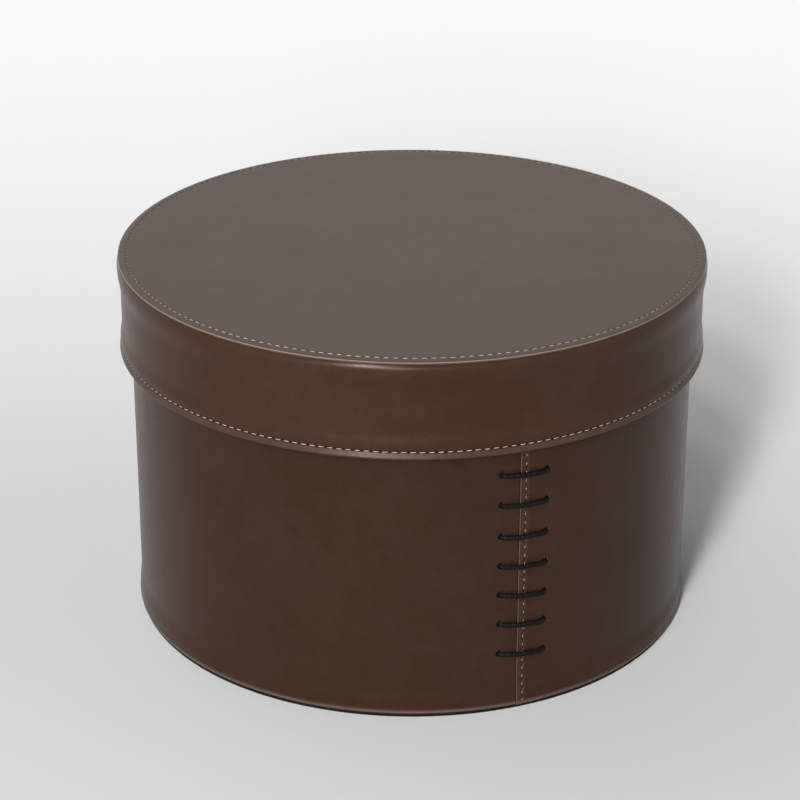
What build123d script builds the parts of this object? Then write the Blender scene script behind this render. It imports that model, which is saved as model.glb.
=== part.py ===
from build123d import *
from itertools import cycle
from math import degrees, pi, radians, sqrt, tan
import os

# A round collar box: a stiff base tube under a deep lid that lifts off. Both are board, covered outside in
# brown leather and lined inside with thin cloth. The base's leather is one strip that laps over itself in
# front, is machine stitched down the lap and is laced across it with seven rungs of black cord.
# Frame: +Z up, origin on the floor at the centre of the underside, laced seam facing -Y.
# Every size is in millimetres.

# Whole box
overall_height = 160.0
base_radius = 120.0
lid_height = 41.8
lid_clearance = 1.2

# Sheet materials
leather_thickness = 0.9
top_leather_thickness = 1.0
turn_in_thickness = 0.7
lining_thickness = 0.4

# Boards and cards
wall_outer_ply = 2.4
wall_inner_ply = 1.2
floor_board_thickness = 3.0
floor_board_overhang = 0.8
floor_card_thickness = 1.5
lid_board_thickness = 3.0
lid_board_overhang = 1.2
lid_card_thickness = 1.2
band_board_thickness = 1.3
card_clearance = 0.2

# Foot of the base
pad_thickness = 1.3
pad_inset = 1.5
foot_round = 1.2
foot_ease = 9.0
turn_under_width = 12.0

# Rim of the base
rim_outer_round = 0.9
rim_inner_round = 0.6
turn_in_depth = 12.0

# Hem of the lid
hem_fold = 0.8
hem_round = 0.6
hem_straight = 5.6
hem_ease = 6.0
hem_turn_in = 8.0

# Shoulder and top of the lid
shoulder_round = 1.6
shoulder_ease = 10.0
flange_width = 13.0
top_edge_inset = 0.6
top_edge_round = 0.35

# Butt joint down the back of the lid's band
band_joint_gap = 0.2

# Lap down the front of the base
lap_step = 0.5
lap_width = 16.0
lap_edge_offset = 2.3
lap_stations = 4

# Lacing across the lap
lace_diameter = 2.0
lace_sides = 8
lace_rungs = 7
lace_bottom_height = 25.9
lace_hem_distance = 11.3
lace_reach = 9.9
lace_lift = 0.25
lace_tail = 7.0
lace_hole_clearance = 0.3
lace_bend_share = 0.45
lace_left_shares = (0.02, -0.01, 0.03, 0.0, -0.02, 0.01, 0.03)
lace_right_shares = (-0.03, 0.03, -0.01, -0.04, 0.02, -0.02, 0.0)
slot_clearance = 0.25

# How far every cut runs past the face that it opens
overrun = 1.0

# Heights, from the floor up
floor_board_bottom = pad_thickness + leather_thickness
floor_board_top = floor_board_bottom + floor_board_thickness
floor_card_top = floor_board_top + floor_card_thickness
foot_ease_top = floor_board_top + foot_ease
hem_bottom = overall_height - lid_height
flange_top = overall_height - top_leather_thickness
lid_board_top = flange_top - leather_thickness
lid_board_bottom = lid_board_top - lid_board_thickness
lid_card_bottom = lid_board_bottom - lid_card_thickness
rim_top = lid_card_bottom - lining_thickness
wall_top = rim_top - leather_thickness
lace_spacing = (hem_bottom - lace_hem_distance - lace_bottom_height) / (lace_rungs - 1)
turn_in_bottom = rim_top - turn_in_depth

# Radii of the base, from outside to inside
wall_outer = base_radius - leather_thickness
ply_joint = wall_outer - wall_outer_ply
wall_inner = ply_joint - wall_inner_ply
lining_inner = wall_inner - lining_thickness
turn_in_inner = wall_inner - turn_in_thickness
floor_board_radius = wall_outer + floor_board_overhang
foot_radius = floor_board_radius + leather_thickness
turn_under_inner = foot_radius - turn_under_width

# Radii of the lid, from inside to outside
lid_lining_inner = base_radius + lid_clearance
band_inner = lid_lining_inner + lining_thickness
band_outer = band_inner + band_board_thickness
band_radius = band_outer + leather_thickness
hem_radius = band_radius + hem_fold
lid_board_radius = band_outer + lid_board_overhang
lid_radius = lid_board_radius + leather_thickness
flange_inner = lid_radius - flange_width
top_leather_radius = lid_radius - top_edge_inset

UP = (0, 1)
DOWN = (0, -1)
OUTWARD = (1, 0)


def disc(radius, bottom, top):
    """A flat round board, card, cloth or pad."""
    return Pos(0, 0, bottom) * Cylinder(radius, top - bottom, align=(Align.CENTER, Align.CENTER, Align.MIN))


def tube(inner, outer, bottom, top):
    """A straight-sided ring of board or cloth."""
    return disc(outer, bottom, top) - disc(inner, bottom - overrun, top + overrun)


def bend(start, end, way):
    """A round corner that leaves its start that way."""
    return TangentArc(start, end, tangent=way)


def ease(start, end):
    """Two equal arcs that carry an upright wall from one radius to another."""
    middle = ((start[0] + end[0]) / 2, (start[1] + end[1]) / 2)
    way = UP if end[1] > start[1] else DOWN
    back = DOWN if way == UP else UP
    return TangentArc(start, middle, tangent=way) + TangentArc(end, middle, tangent=back)


def section(*stretches):
    """A closed outline in radius and height, as a face on the plane through the box's axis."""
    edges = [edge for stretch in stretches for edge in stretch.edges()]
    return make_face(Plane.XZ * Wire(edges))


def wall_section(outset):
    """The base's leather strip: turned in over the rim, down the wall and turned under the foot."""
    outer = base_radius + outset
    foot = foot_radius + outset
    return section(
        Polyline((wall_inner, turn_in_bottom), (turn_in_inner, turn_in_bottom),
                 (turn_in_inner, rim_top - rim_inner_round)),
        bend((turn_in_inner, rim_top - rim_inner_round), (turn_in_inner + rim_inner_round, rim_top), UP),
        Line((turn_in_inner + rim_inner_round, rim_top), (outer - rim_outer_round, rim_top)),
        bend((outer - rim_outer_round, rim_top), (outer, rim_top - rim_outer_round), OUTWARD),
        Line((outer, rim_top - rim_outer_round), (outer, foot_ease_top)),
        ease((outer, foot_ease_top), (foot, floor_board_top)),
        Line((foot, floor_board_top), (foot, pad_thickness + foot_round)),
        bend((foot, pad_thickness + foot_round), (foot - foot_round, pad_thickness), DOWN),
        Polyline((foot - foot_round, pad_thickness), (turn_under_inner, pad_thickness),
                 (turn_under_inner, floor_board_bottom), (floor_board_radius, floor_board_bottom),
                 (floor_board_radius, floor_board_top), (wall_outer, foot_ease_top), (wall_outer, wall_top),
                 (wall_inner, wall_top), (wall_inner, turn_in_bottom)),
    )


def wall_skin():
    """The strip all round: its outer end laps over in front, with a cut edge that thins away to the right."""
    lap_span = degrees(lap_width / base_radius)
    single = Rot(0, 0, lap_span) * revolve(wall_section(0), Axis.Z, revolution_arc=360 - lap_span)
    way_across = [station / lap_stations for station in range(lap_stations + 1)]
    lapped = loft([Rot(0, 0, lap_span * way) * wall_section(lap_step * (1 - way)) for way in way_across])
    cut_edge = -90 - degrees(lap_edge_offset / base_radius)
    return Rot(0, 0, cut_edge) * (single + lapped)


def lace_stations():
    """Heights of the left and right hole of each rung, from the lowest up."""
    heights = [lace_bottom_height + rung * lace_spacing for rung in range(lace_rungs)]
    shares = zip(heights, cycle(lace_left_shares), cycle(lace_right_shares))
    return [(z + left * lace_spacing, z + right * lace_spacing) for z, left, right in shares]


def lace_route():
    """Corners of the lace: out through one hole, across the lap, in at the next and up behind the leather."""
    front = -(base_radius + lap_step + lace_lift + lace_diameter / 2)
    back = -sqrt(((wall_outer + ply_joint) / 2) ** 2 - lace_reach ** 2)
    stations = lace_stations()
    points = [(-lace_reach, back, stations[0][0] - lace_tail)]
    for rung, (left, right) in enumerate(stations):
        ends = [(-lace_reach, left), (lace_reach, right)]
        if rung % 2:
            ends.reverse()
        (first_x, first_z), (last_x, last_z) = ends
        points += [(first_x, back, first_z), (first_x, front, first_z)]
        points += [(last_x, front, last_z), (last_x, back, last_z)]
    end_x, end_y, end_z = points[-1]
    return points + [(end_x, end_y, end_z + lace_tail)]


def corner_radii(points):
    """The arc at each corner of a route: as large as the two runs beside it allow."""
    radii = []
    for before, here, after in zip(points, points[1:], points[2:]):
        shorter = min((here - before).length, (after - here).length)
        half_turn = radians((here - before).get_angle(after - here)) / 2
        radii.append(lace_bend_share * shorter / tan(half_turn))
    return radii


def seam_lace():
    """One length of cord, laced through the two columns of holes from the foot to the top."""
    points = [Vector(point) for point in lace_route()]
    radii = corner_radii(points)
    outline = RegularPolygon(lace_diameter / 2, lace_sides)
    pieces = []
    length = 0
    here = Plane(origin=points[0], x_dir=(1, 0, 0), z_dir=points[1] - points[0])
    for corner, after, radius in zip(points[1:], points[2:], radii):
        way_out = (after - corner).normalized()
        turn = here.z_dir.get_angle(way_out)
        pivot = here.z_dir.cross(way_out)
        setback = radius * tan(radians(turn) / 2)
        run = (corner - here.origin).length - setback
        pieces.append(extrude(here * outline, amount=run))
        arc_start = Plane(origin=here.origin + here.z_dir * run, x_dir=here.x_dir, z_dir=here.z_dir)
        hub = Axis(arc_start.origin + pivot.cross(here.z_dir).normalized() * radius, pivot)
        pieces.append(revolve(arc_start * outline, hub, revolution_arc=turn))
        length += run + radius * radians(turn)
        here = Plane(origin=corner + way_out * setback, x_dir=here.x_dir.rotate(hub, turn), z_dir=way_out)
    run = (points[-1] - here.origin).length
    pieces.append(extrude(here * outline, amount=run))
    cord = pieces[0] + pieces[1:]
    expected = outline.area * (length + run)
    print(f"lace: {length + run:.1f} mm long, arcs from {min(radii):.2f} mm,"
          f" volume {cord.volume:.2f} of {expected:.2f}")
    return cord


def wall_leather():
    """The strip with its two columns of lace holes."""
    hole_depth = lap_step + leather_thickness + 2 * overrun
    hole = Cylinder(lace_diameter / 2 + lace_hole_clearance, hole_depth, rotation=(90, 0, 0))
    hole_middle = -(base_radius + lap_step + overrun - hole_depth / 2)
    holes = []
    for left, right in lace_stations():
        holes += [Pos(-lace_reach, hole_middle, left) * hole, Pos(lace_reach, hole_middle, right) * hole]
    return wall_skin() - holes


def wall_outer_board():
    """The wall's outer ply, slotted behind each column of holes so that the lace lies flush in it."""
    width = lace_diameter + 2 * slot_clearance
    stations = lace_stations()
    bottom = min(stations[0]) - lace_tail - slot_clearance
    top = max(stations[-1]) + lace_tail + slot_clearance
    depth = wall_outer_ply + 2 * overrun
    slot = Box(width, depth, top - bottom, align=(Align.CENTER, Align.MIN, Align.MIN))
    slots = [Pos(side * lace_reach, -(wall_outer + overrun), bottom) * slot for side in (-1, 1)]
    return tube(ply_joint, wall_outer, floor_board_top, wall_top) - slots


def lid_band_leather():
    """The lid's side leather: turned over the lid board, down the band and folded in under its edge."""
    waist_top = lid_board_bottom - shoulder_ease
    hem_high = hem_bottom + hem_straight
    skin = revolve(section(
        Polyline((lid_board_radius, lid_board_top), (flange_inner, lid_board_top), (flange_inner, flange_top),
                 (lid_radius - shoulder_round, flange_top)),
        bend((lid_radius - shoulder_round, flange_top), (lid_radius, flange_top - shoulder_round), OUTWARD),
        Line((lid_radius, flange_top - shoulder_round), (lid_radius, lid_board_bottom)),
        ease((lid_radius, lid_board_bottom), (band_radius, waist_top)),
        Line((band_radius, waist_top), (band_radius, hem_high + hem_ease)),
        ease((band_radius, hem_high + hem_ease), (hem_radius, hem_high)),
        Line((hem_radius, hem_high), (hem_radius, hem_bottom + hem_round)),
        bend((hem_radius, hem_bottom + hem_round), (hem_radius - hem_round, hem_bottom), DOWN),
        Polyline((hem_radius - hem_round, hem_bottom), (lid_lining_inner, hem_bottom),
                 (lid_lining_inner, hem_bottom + hem_turn_in), (band_inner, hem_bottom + hem_turn_in),
                 (band_inner, hem_bottom + leather_thickness), (band_outer, hem_bottom + leather_thickness),
                 (band_outer, waist_top), (lid_board_radius, lid_board_bottom),
                 (lid_board_radius, lid_board_top)),
    ), Axis.Z)
    joint_size = (band_joint_gap, lid_radius + overrun, lid_height + overrun)
    joint = Box(*joint_size, align=(Align.CENTER, Align.MIN, Align.MIN))
    return skin - Pos(0, 0, hem_bottom - overrun) * joint


def lid_top_leather():
    """The leather disc sewn on top, with its cut edge rounded over."""
    rounded = top_leather_radius - top_edge_round
    low = overall_height - top_edge_round
    return revolve(section(
        Polyline((rounded, overall_height), (0, overall_height), (0, flange_top),
                 (top_leather_radius, flange_top), (top_leather_radius, low)),
        bend((top_leather_radius, low), (rounded, overall_height), UP),
    ), Axis.Z)


parts = {
    "foot_pad": disc(foot_radius - pad_inset, 0, pad_thickness),
    "underside_filler": disc(turn_under_inner - card_clearance, pad_thickness, floor_board_bottom),
    "floor_board": disc(floor_board_radius, floor_board_bottom, floor_board_top),
    "wall_inner_board": tube(wall_inner, ply_joint, floor_board_top, wall_top),
    "wall_outer_board": wall_outer_board(),
    "wall_leather": wall_leather(),
    "seam_lace": seam_lace(),
    "wall_lining": tube(lining_inner, wall_inner, floor_board_top, turn_in_bottom),
    "floor_card": disc(lining_inner - card_clearance, floor_board_top, floor_card_top),
    "floor_lining": disc(lining_inner - card_clearance, floor_card_top, floor_card_top + lining_thickness),
    "lid_board": disc(lid_board_radius, lid_board_bottom, lid_board_top),
    "lid_band_board": tube(band_inner, band_outer, hem_bottom + leather_thickness, lid_board_bottom),
    "lid_band_leather": lid_band_leather(),
    "lid_filler": disc(flange_inner - card_clearance, lid_board_top, flange_top),
    "lid_top_leather": lid_top_leather(),
    "lid_card": disc(lid_lining_inner - card_clearance, lid_card_bottom, lid_board_bottom),
    "lid_card_lining": disc(lid_lining_inner - card_clearance, rim_top, lid_card_bottom),
    "lid_band_lining": tube(lid_lining_inner, band_inner, hem_bottom + hem_turn_in, lid_board_bottom),
}

os.makedirs("parts", exist_ok=True)
for name, solid in parts.items():
    export_step(solid, f"parts/{name}.step")
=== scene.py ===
from math import asin, ceil, cos, exp, hypot, pi, radians, sin, sqrt

import bmesh
import bpy
from bpy.props import FloatProperty, FloatVectorProperty, IntProperty, PointerProperty
from bpy.types import Operator, Panel, PropertyGroup
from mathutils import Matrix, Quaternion, Vector, noise


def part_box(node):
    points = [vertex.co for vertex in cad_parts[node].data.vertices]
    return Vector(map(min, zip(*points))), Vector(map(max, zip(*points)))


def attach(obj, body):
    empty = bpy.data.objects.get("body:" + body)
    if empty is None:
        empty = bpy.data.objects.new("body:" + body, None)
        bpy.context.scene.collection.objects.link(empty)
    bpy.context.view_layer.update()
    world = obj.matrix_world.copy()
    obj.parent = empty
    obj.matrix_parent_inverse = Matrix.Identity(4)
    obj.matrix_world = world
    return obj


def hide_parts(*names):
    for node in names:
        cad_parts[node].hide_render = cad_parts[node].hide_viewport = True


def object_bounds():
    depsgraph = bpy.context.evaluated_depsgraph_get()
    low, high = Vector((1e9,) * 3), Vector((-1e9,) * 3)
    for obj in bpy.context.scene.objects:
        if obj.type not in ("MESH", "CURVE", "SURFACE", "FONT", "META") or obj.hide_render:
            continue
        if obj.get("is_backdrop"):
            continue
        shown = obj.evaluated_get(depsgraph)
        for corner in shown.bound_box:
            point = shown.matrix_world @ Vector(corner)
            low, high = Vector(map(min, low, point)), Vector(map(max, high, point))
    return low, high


bl_info = {
    "name": "Laced collar box",
    "version": (1, 0, 0),
    "blender": (4, 5, 0),
    "location": "View3D > Sidebar > Collar Box",
    "description": "Covers the collar box in leather, sews and laces it, lines it and lights it",
    "category": "Object",
}

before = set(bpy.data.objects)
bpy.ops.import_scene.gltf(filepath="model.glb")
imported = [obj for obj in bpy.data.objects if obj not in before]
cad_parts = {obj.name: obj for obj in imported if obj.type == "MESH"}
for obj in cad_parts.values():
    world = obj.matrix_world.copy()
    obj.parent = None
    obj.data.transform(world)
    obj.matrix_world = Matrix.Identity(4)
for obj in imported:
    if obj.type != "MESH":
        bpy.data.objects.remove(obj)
cad_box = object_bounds()

# Lengths below are in millimetres until a mesh is made
MM = 0.001


def cad_reach(node):
    """Radius, bottom and top of a CAD node, in millimetres."""
    low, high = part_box(node)
    return high.x / MM, low.z / MM, high.z / MM


# Sizes that the packed model gives
TOP_LEATHER_RADIUS, FLANGE_TOP, BOX_TOP = cad_reach("lid_top_leather")
LID_RADIUS, HEM_BOTTOM, _ = cad_reach("lid_band_leather")
LID_BOARD_RADIUS, LID_BOARD_BOTTOM, LID_BOARD_TOP = cad_reach("lid_board")
BAND_OUTER, _, _ = cad_reach("lid_band_board")
BAND_INNER, LID_LINING_BOTTOM, _ = cad_reach("lid_band_lining")
LID_CLOTH_RADIUS, LID_CLOTH_BOTTOM, LID_CLOTH_TOP = cad_reach("lid_card_lining")
FLOOR_CLOTH_RADIUS, FLOOR_CLOTH_BOTTOM, FLOOR_CLOTH_TOP = cad_reach("floor_lining")
WALL_INNER, FLOOR_BOARD_TOP, WALL_LINING_TOP = cad_reach("wall_lining")
FLOOR_BOARD_RADIUS, FLOOR_BOARD_BOTTOM, _ = cad_reach("floor_board")
WALL_OUTER, _, WALL_TOP = cad_reach("wall_outer_board")
_, _, PAD_TOP = cad_reach("foot_pad")
_, _, RIM_TOP = cad_reach("wall_leather")

# Leather as it is cut and folded, and the cloth and board behind it
LEATHER = 0.9
CLOTH = 0.4
WALL_OUTER_PLY = 2.4
BASE_RADIUS = WALL_OUTER + LEATHER
FOOT_RADIUS = FLOOR_BOARD_RADIUS + LEATHER
FOOT_EASE_TOP = 14.2
FOOT_ROUND = 1.2
FOOT_FLARE = 0.25
PAD_INSET = 0.55
TURN_UNDER_INNER = 108.8
TURN_IN_INNER = 114.8
RIM_OUTER_ROUND = 0.9
RIM_INNER_ROUND = 0.6
BAND_RADIUS = BAND_OUTER + LEATHER
HEM_RADIUS = BAND_RADIUS + 0.8
HEM_CHANNEL = 0.36
HEM_LIP = 0.45
HEM_LIP_ROUND = 0.9
HEM_HIGH = HEM_BOTTOM + 5.6
HEM_EASE = 6.0
HEM_TURN_IN_TOP = HEM_BOTTOM + 8.0
LID_LINING_INNER = BAND_INNER - CLOTH
SHOULDER_INSET = 2.4
SHOULDER_DROP = 3.5
WAIST_TOP = LID_BOARD_BOTTOM - 10.0
FLANGE_INNER = 112.0
TOP_EDGE_ROUND = 0.35
TOP_EDGE_FALL = 0.42
BAND_JOINT_GAP = 0.2

# How smooth the lid's shoulder is rubbed, from the top down
SHOULDER_POLISH = (0, 0, 0.5, 1, 1, 1, 0.8, 0.2, 0, 0, 0)

# Directions turned from +X: the front seam, and the middle of the back, where the joints are
FRONT, BACK = -pi / 2, pi / 2

# Lap down the front of the base: distance past the cut edge, and how far the leather stands out there
LAP_EDGE = 2.3
LAP_WIDTH = 16.0
LAP_PROFILE = (
    (-0.9, 0.0), (-0.35, -0.02), (-0.13, -0.07), (-0.05, -0.05), (-0.02, 0.2), (0.02, 0.36), (0.1, 0.46),
    (0.24, 0.5), (0.5, 0.5), (LAP_WIDTH, 0.0),
)

# Lace holes: left and right height of each rung, from the lowest up
LACE_REACH = 9.9
LACE_HEIGHTS = (
    (26.17, 24.95), (39.9, 38.6), (53.31, 51.6), (66.4, 65.1), (79.63, 78.9), (93.54, 93.1), (106.8, 106.5),
)
LACE_HOLE_RADIUS = 1.3
LACE_TAIL = 7.0
LACED_MARGIN = 8
LACE_SIDES = 14
LACE_STEP = 0.4
HOLE_ARC = BASE_RADIUS * asin(LACE_REACH / BASE_RADIUS)
LACE_HOLES = tuple(
    (side * HOLE_ARC, height) for pair in LACE_HEIGHTS for side, height in zip((-1, 1), pair))

# Square patch of points that each hole is cut from: half its width, and its steps from the middle
PATCH_REACH = 2.4
PATCH_STEPS = tuple(step * 0.4 for step in range(-7, 8))

# Rings of points from a patch in to its hole: share of the way, radius there and how far it is sunk
HOLE_OUTSIDE = (
    (0.4, LACE_HOLE_RADIUS, 0), (0.72, LACE_HOLE_RADIUS, 0), (1, LACE_HOLE_RADIUS + 0.14, 0),
    (1, LACE_HOLE_RADIUS + 0.03, 0.08), (1, LACE_HOLE_RADIUS, 0.22),
)
HOLE_INSIDE = ((1, LACE_HOLE_RADIUS, 0),)

# Sag of each rung beside its left and right hole, from the lowest up
LACE_SAGS = (
    (-0.3, 0.0), (-0.4, -0.2), (-0.3, 0.1), (-0.4, 0.1), (-0.6, 0.1), (-0.3, 0.0), (-0.2, -0.2),
)

# Lowest and highest needle hole of the seam, and the middle of the painted shadow line past the lap's cut edge
SEAM_ROW = (3.4, 151.6)
LAP_SHADOW_LINE = 0.3

# Middle of the lit side of the lid's thread, turned from the seam, and how far painted shade darkens the thread away
# from it
THREAD_LIT_SIDE = radians(-22)
THREAD_SHADED = 0.85

# Stitches: rise, drop and slant, and the length and drop of those down the seam, in metres
STITCH_RISE, STITCH_DROP, STITCH_LEAN = 0.00006, 0.0006, radians(3)
SEAM_STITCH_LENGTH, SEAM_STITCH_DROP = 0.0017, 0.0007

# Painted light and shade: how much lighter or darker the one leather is painted on each piece, against the leather's
# colour, keyed by the piece's row of stitches; the base is painted darker and the lid's top lighter for the light that
# falls on them
LEATHER_PAINTED_LIGHT = {"seam": 0.8, "hem": 1.0, "top": 1.28}

# Colours that no setting gives: leather, thread, lace and cloth
PIT_COLOUR = (0.012, 0.006, 0.004)
SHEEN_AND_WEAR_COLOUR = (0.09, 0.072, 0.059)
RUBBED_COLOUR = (0.15, 0.095, 0.075)
LAP_SHADOW_COLOUR = (0.006, 0.003, 0.002)
HOLE_SHADE_COLOUR = (0.004, 0.002, 0.0015)
THREAD_SHADE_COLOUR = (0.12, 0.083, 0.064)
WAX_COLOUR = (0.0042, 0.0038, 0.0036)
AGED_CLOTH_COLOUR = (0.5, 0.42, 0.31)
CLOTH_GAP_SHADE_COLOUR = (0.25, 0.2, 0.15)


def colour_setting(name, description, default):
    """A setting that is a colour."""
    return FloatVectorProperty(
        name=name, description=description, subtype="COLOR", size=3, min=0, max=1, default=default)


def share_setting(name, description, default):
    """A setting from nought to one."""
    return FloatProperty(name=name, description=description, subtype="FACTOR", min=0, max=1, default=default)


def length_setting(name, description, default, least=0.0):
    """A setting that is a length in metres."""
    return FloatProperty(name=name, description=description, unit="LENGTH", min=least, default=default)


def angle_setting(name, description, degrees):
    """A setting that is an angle."""
    return FloatProperty(name=name, description=description, subtype="ANGLE", default=radians(degrees))


def count_setting(name, description, default, least=3):
    """A setting that is a number of stitches."""
    return IntProperty(name=name, description=description, min=least, default=default)


class CollarBoxLeather(PropertyGroup):
    """The leather's colours and surface."""
    colour: colour_setting("Leather colour", "Face of the leather", (0.0335, 0.0137, 0.0069))
    worn_colour: colour_setting("Mottled colour", "Paler cast in the leather's mottling", (0.0405, 0.0186, 0.0112))
    # The cut edge colour is also used for painted highlights on edges that catch the light
    edge_colour: colour_setting("Cut edge colour", "Dyed fibre on the cut edges", (0.34, 0.275, 0.235))
    roughness: share_setting("Roughness", "Satin of the finish", 0.335)
    grain_size: length_setting("Grain size", "Width of one pebble of the grain", 0.0008, 0.0002)
    unevenness: length_setting("Unevenness", "How far the covered surface strays from true", 0.00004)


class CollarBoxStitching(PropertyGroup):
    """The thread and its rows."""
    thread_colour: colour_setting("Thread colour", "Waxed sewing thread", (0.64, 0.555, 0.48))
    seam_thread_colour: colour_setting(
        "Seam thread colour", "Thread of the front seam, dulled by handling", (0.5, 0.37, 0.29))
    thread_width: length_setting("Thread width", "Thickness of the thread", 0.00026, 0.0001)
    stitch_length: length_setting("Stitch length", "From hole to hole, less the gap", 0.0026, 0.0005)
    top_ring_radius: length_setting("Top row radius", "Row near the edge of the lid's top", 0.1209)
    top_ring_count: count_setting("Top row stitches", "Stitches round the lid's top", 208)
    hem_height: length_setting("Hem row height", "Row above the lid's lower edge", 0.1215)
    hem_count: count_setting("Hem row stitches", "Stitches round the hem", 214)
    seam_count: count_setting("Seam row stitches", "Stitches down the front seam", 41, 2)


class CollarBoxLace(PropertyGroup):
    """The black cord across the seam."""
    colour: colour_setting("Lace colour", "Waxed black cord", (0.0014, 0.0013, 0.0013))
    thickness: length_setting("Lace thickness", "Diameter of the cord", 0.002, 0.0005)


class CollarBoxInside(PropertyGroup):
    """Cloth, boards and felt."""
    cloth_colour: colour_setting("Lining colour", "Cotton lining", (0.62, 0.55, 0.44))
    cloth_pitch: length_setting("Cloth thread pitch", "Distance between threads of the lining", 0.0007, 0.0002)
    board_colour: colour_setting("Board colour", "Grey-brown board", (0.4, 0.33, 0.24))
    card_colour: colour_setting("Card colour", "Thin card", (0.52, 0.45, 0.34))
    felt_colour: colour_setting("Felt colour", "Black felt under the box", (0.004, 0.004, 0.004))


class CollarBoxStudio(PropertyGroup):
    """The floor, the lights and the camera."""
    # The floor's two greys are painted light, graded from front to back
    near_floor: share_setting("Near floor", "Grey of the floor in front", 0.6)
    far_floor: share_setting("Far floor", "Grey of the floor behind", 0.872)
    key_azimuth: angle_setting("Strip light direction", "Turned from straight in front of the seam", -39.9)
    camera_azimuth: angle_setting("Camera direction", "Turned from straight in front of the seam", -22.2)
    camera_height: angle_setting("Camera height", "Above the horizon", 24.8)
    camera_roll: angle_setting("Camera roll", "Turned about its own line of sight", 0.22)
    camera_distance: length_setting("Camera distance", "From the middle of the box", 1.137)


def filled(marks, step):
    """Marks with even ones added wherever two are further apart than a step."""
    out = [marks[0]]
    for here, after in zip(marks, marks[1:]):
        count = max(1, ceil(abs(after - here) / step - 0.001))
        out += [here + (after - here) * k / count for k in range(1, count + 1)]
    return out


def rounded(centre, radius, start, end, steps):
    """Points round the corner of an outline, from one direction in degrees to another."""
    turns = [radians(start + (end - start) * k / steps) for k in range(steps + 1)]
    return [(centre[0] + radius * cos(turn), centre[1] + radius * sin(turn)) for turn in turns]


def eased(start, end, steps):
    """Points that carry an upright wall smoothly from one radius to another."""
    shares = [k / steps for k in range(steps + 1)]
    return [(start[0] + (end[0] - start[0]) * (1 - cos(pi * share)) / 2,
             start[1] + (end[1] - start[1]) * share) for share in shares]


def between(profile, at):
    """Height of a profile of straight stretches at one place along it, and zero past its ends."""
    for (start, low), (end, high) in zip(profile, profile[1:]):
        if start <= at <= end:
            return low + (high - low) * (at - start) / (end - start)
    return 0.0


def round_point(radius, turn, height):
    """A point in metres from a radius and height in millimetres, turned from +X."""
    return (radius * cos(turn) * MM, radius * sin(turn) * MM, height * MM)


def grid_faces(rows, columns, loop_rows, loop_columns):
    """Four-sided faces of a grid of points numbered row by row."""
    last_row = rows if loop_rows else rows - 1
    last_column = columns if loop_columns else columns - 1
    for i in range(last_row):
        below = (i + 1) % rows
        for j in range(last_column):
            right = (j + 1) % columns
            yield (i * columns + j, i * columns + right, below * columns + right, below * columns + j)


def placed(name, data):
    """A new object in the scene with that data."""
    made = bpy.data.objects.new(name, data)
    bpy.context.scene.collection.objects.link(made)
    return made


def close_ring(points, faces, ring, height):
    """Joins a ring of points to a new one in its middle."""
    middle = len(points)
    points.append((0, 0, height * MM))
    faces += [(ring[k], ring[(k + 1) % len(ring)], middle) for k in range(len(ring))]


def closed_piece(name, points, faces, material, layers=None, uv=None, crease=35):
    """An object with its faces outward and its unused points dropped. Layers are numbers for each point."""
    used = sorted({corner for face in faces for corner in face})
    place = {old: new for new, old in enumerate(used)}
    mesh = bpy.data.meshes.new(name)
    mesh.from_pydata([points[k] for k in used], [], [[place[k] for k in face] for face in faces])
    work = bmesh.new()
    work.from_mesh(mesh)
    bmesh.ops.recalc_face_normals(work, faces=work.faces)
    if work.calc_volume(signed=True) < 0:
        bmesh.ops.reverse_faces(work, faces=work.faces)
    open_edges = sum(not edge.is_manifold for edge in work.edges)
    if open_edges:
        raise RuntimeError(f"{name} has {open_edges} open edges")
    work.to_mesh(mesh)
    work.free()
    for label, values in (layers or {}).items():
        mesh.attributes.new(label, "FLOAT", "POINT").data.foreach_set("value", [values[k] for k in used])
    if uv:
        spots = [uv[used[loop.vertex_index]] for loop in mesh.loops]
        mesh.uv_layers.new(name="cloth").data.foreach_set("uv", [number for spot in spots for number in spot])
    mesh.materials.append(material)
    mesh.shade_smooth()
    mesh.set_sharp_from_angle(angle=radians(crease))
    return placed(name, mesh)


def dressed(piece, body, slot, *nodes):
    """Puts a finished piece on its body and in place of its CAD nodes. The slot is not used."""
    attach(piece, body)
    if nodes:
        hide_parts(*nodes)


def fill(tree, made, inputs):
    """Sets or links a node's inputs."""
    for key, value in inputs.items():
        if isinstance(value, bpy.types.NodeSocket):
            tree.links.new(value, made.inputs[key])
        else:
            made.inputs[key].default_value = value


def node(tree, kind, inputs=None, **settings):
    """Adds a node, sets its options and fills its inputs."""
    made = tree.nodes.new(kind)
    for key, value in settings.items():
        setattr(made, key, value)
    fill(tree, made, inputs or {})
    return made


def maths(tree, operation, *values):
    """A Math node's result."""
    return node(tree, "ShaderNodeMath", dict(enumerate(values)), operation=operation).outputs[0]


def times(tree, first, second):
    """One value times another."""
    return maths(tree, "MULTIPLY", first, second)


def plus(tree, first, second):
    """One value and another."""
    return maths(tree, "ADD", first, second)


def minus(tree, first, second):
    """One value less another."""
    return maths(tree, "SUBTRACT", first, second)


def size_of(tree, first, second):
    """Distance made up of two that are square to each other."""
    return maths(tree, "SQRT", plus(tree, maths(tree, "POWER", first, 2), maths(tree, "POWER", second, 2)))


def vector_maths(tree, operation, *values):
    """A Vector Math node's outputs."""
    return node(tree, "ShaderNodeVectorMath", dict(enumerate(values)), operation=operation).outputs


def parts(tree, vector):
    """A vector's X, Y and Z."""
    return node(tree, "ShaderNodeSeparateXYZ", {0: vector}).outputs


def vector_of(tree, parts_given):
    """A vector from some of its three parts, numbered from nought."""
    return node(tree, "ShaderNodeCombineXYZ", parts_given).outputs[0]


def smooth_step(tree, value, low, high):
    """Nought below one value, one above another, and smooth in between."""
    return node(tree, "ShaderNodeMapRange", {"Value": value, "From Min": low, "From Max": high},
                interpolation_type="SMOOTHSTEP").outputs["Result"]


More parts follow.
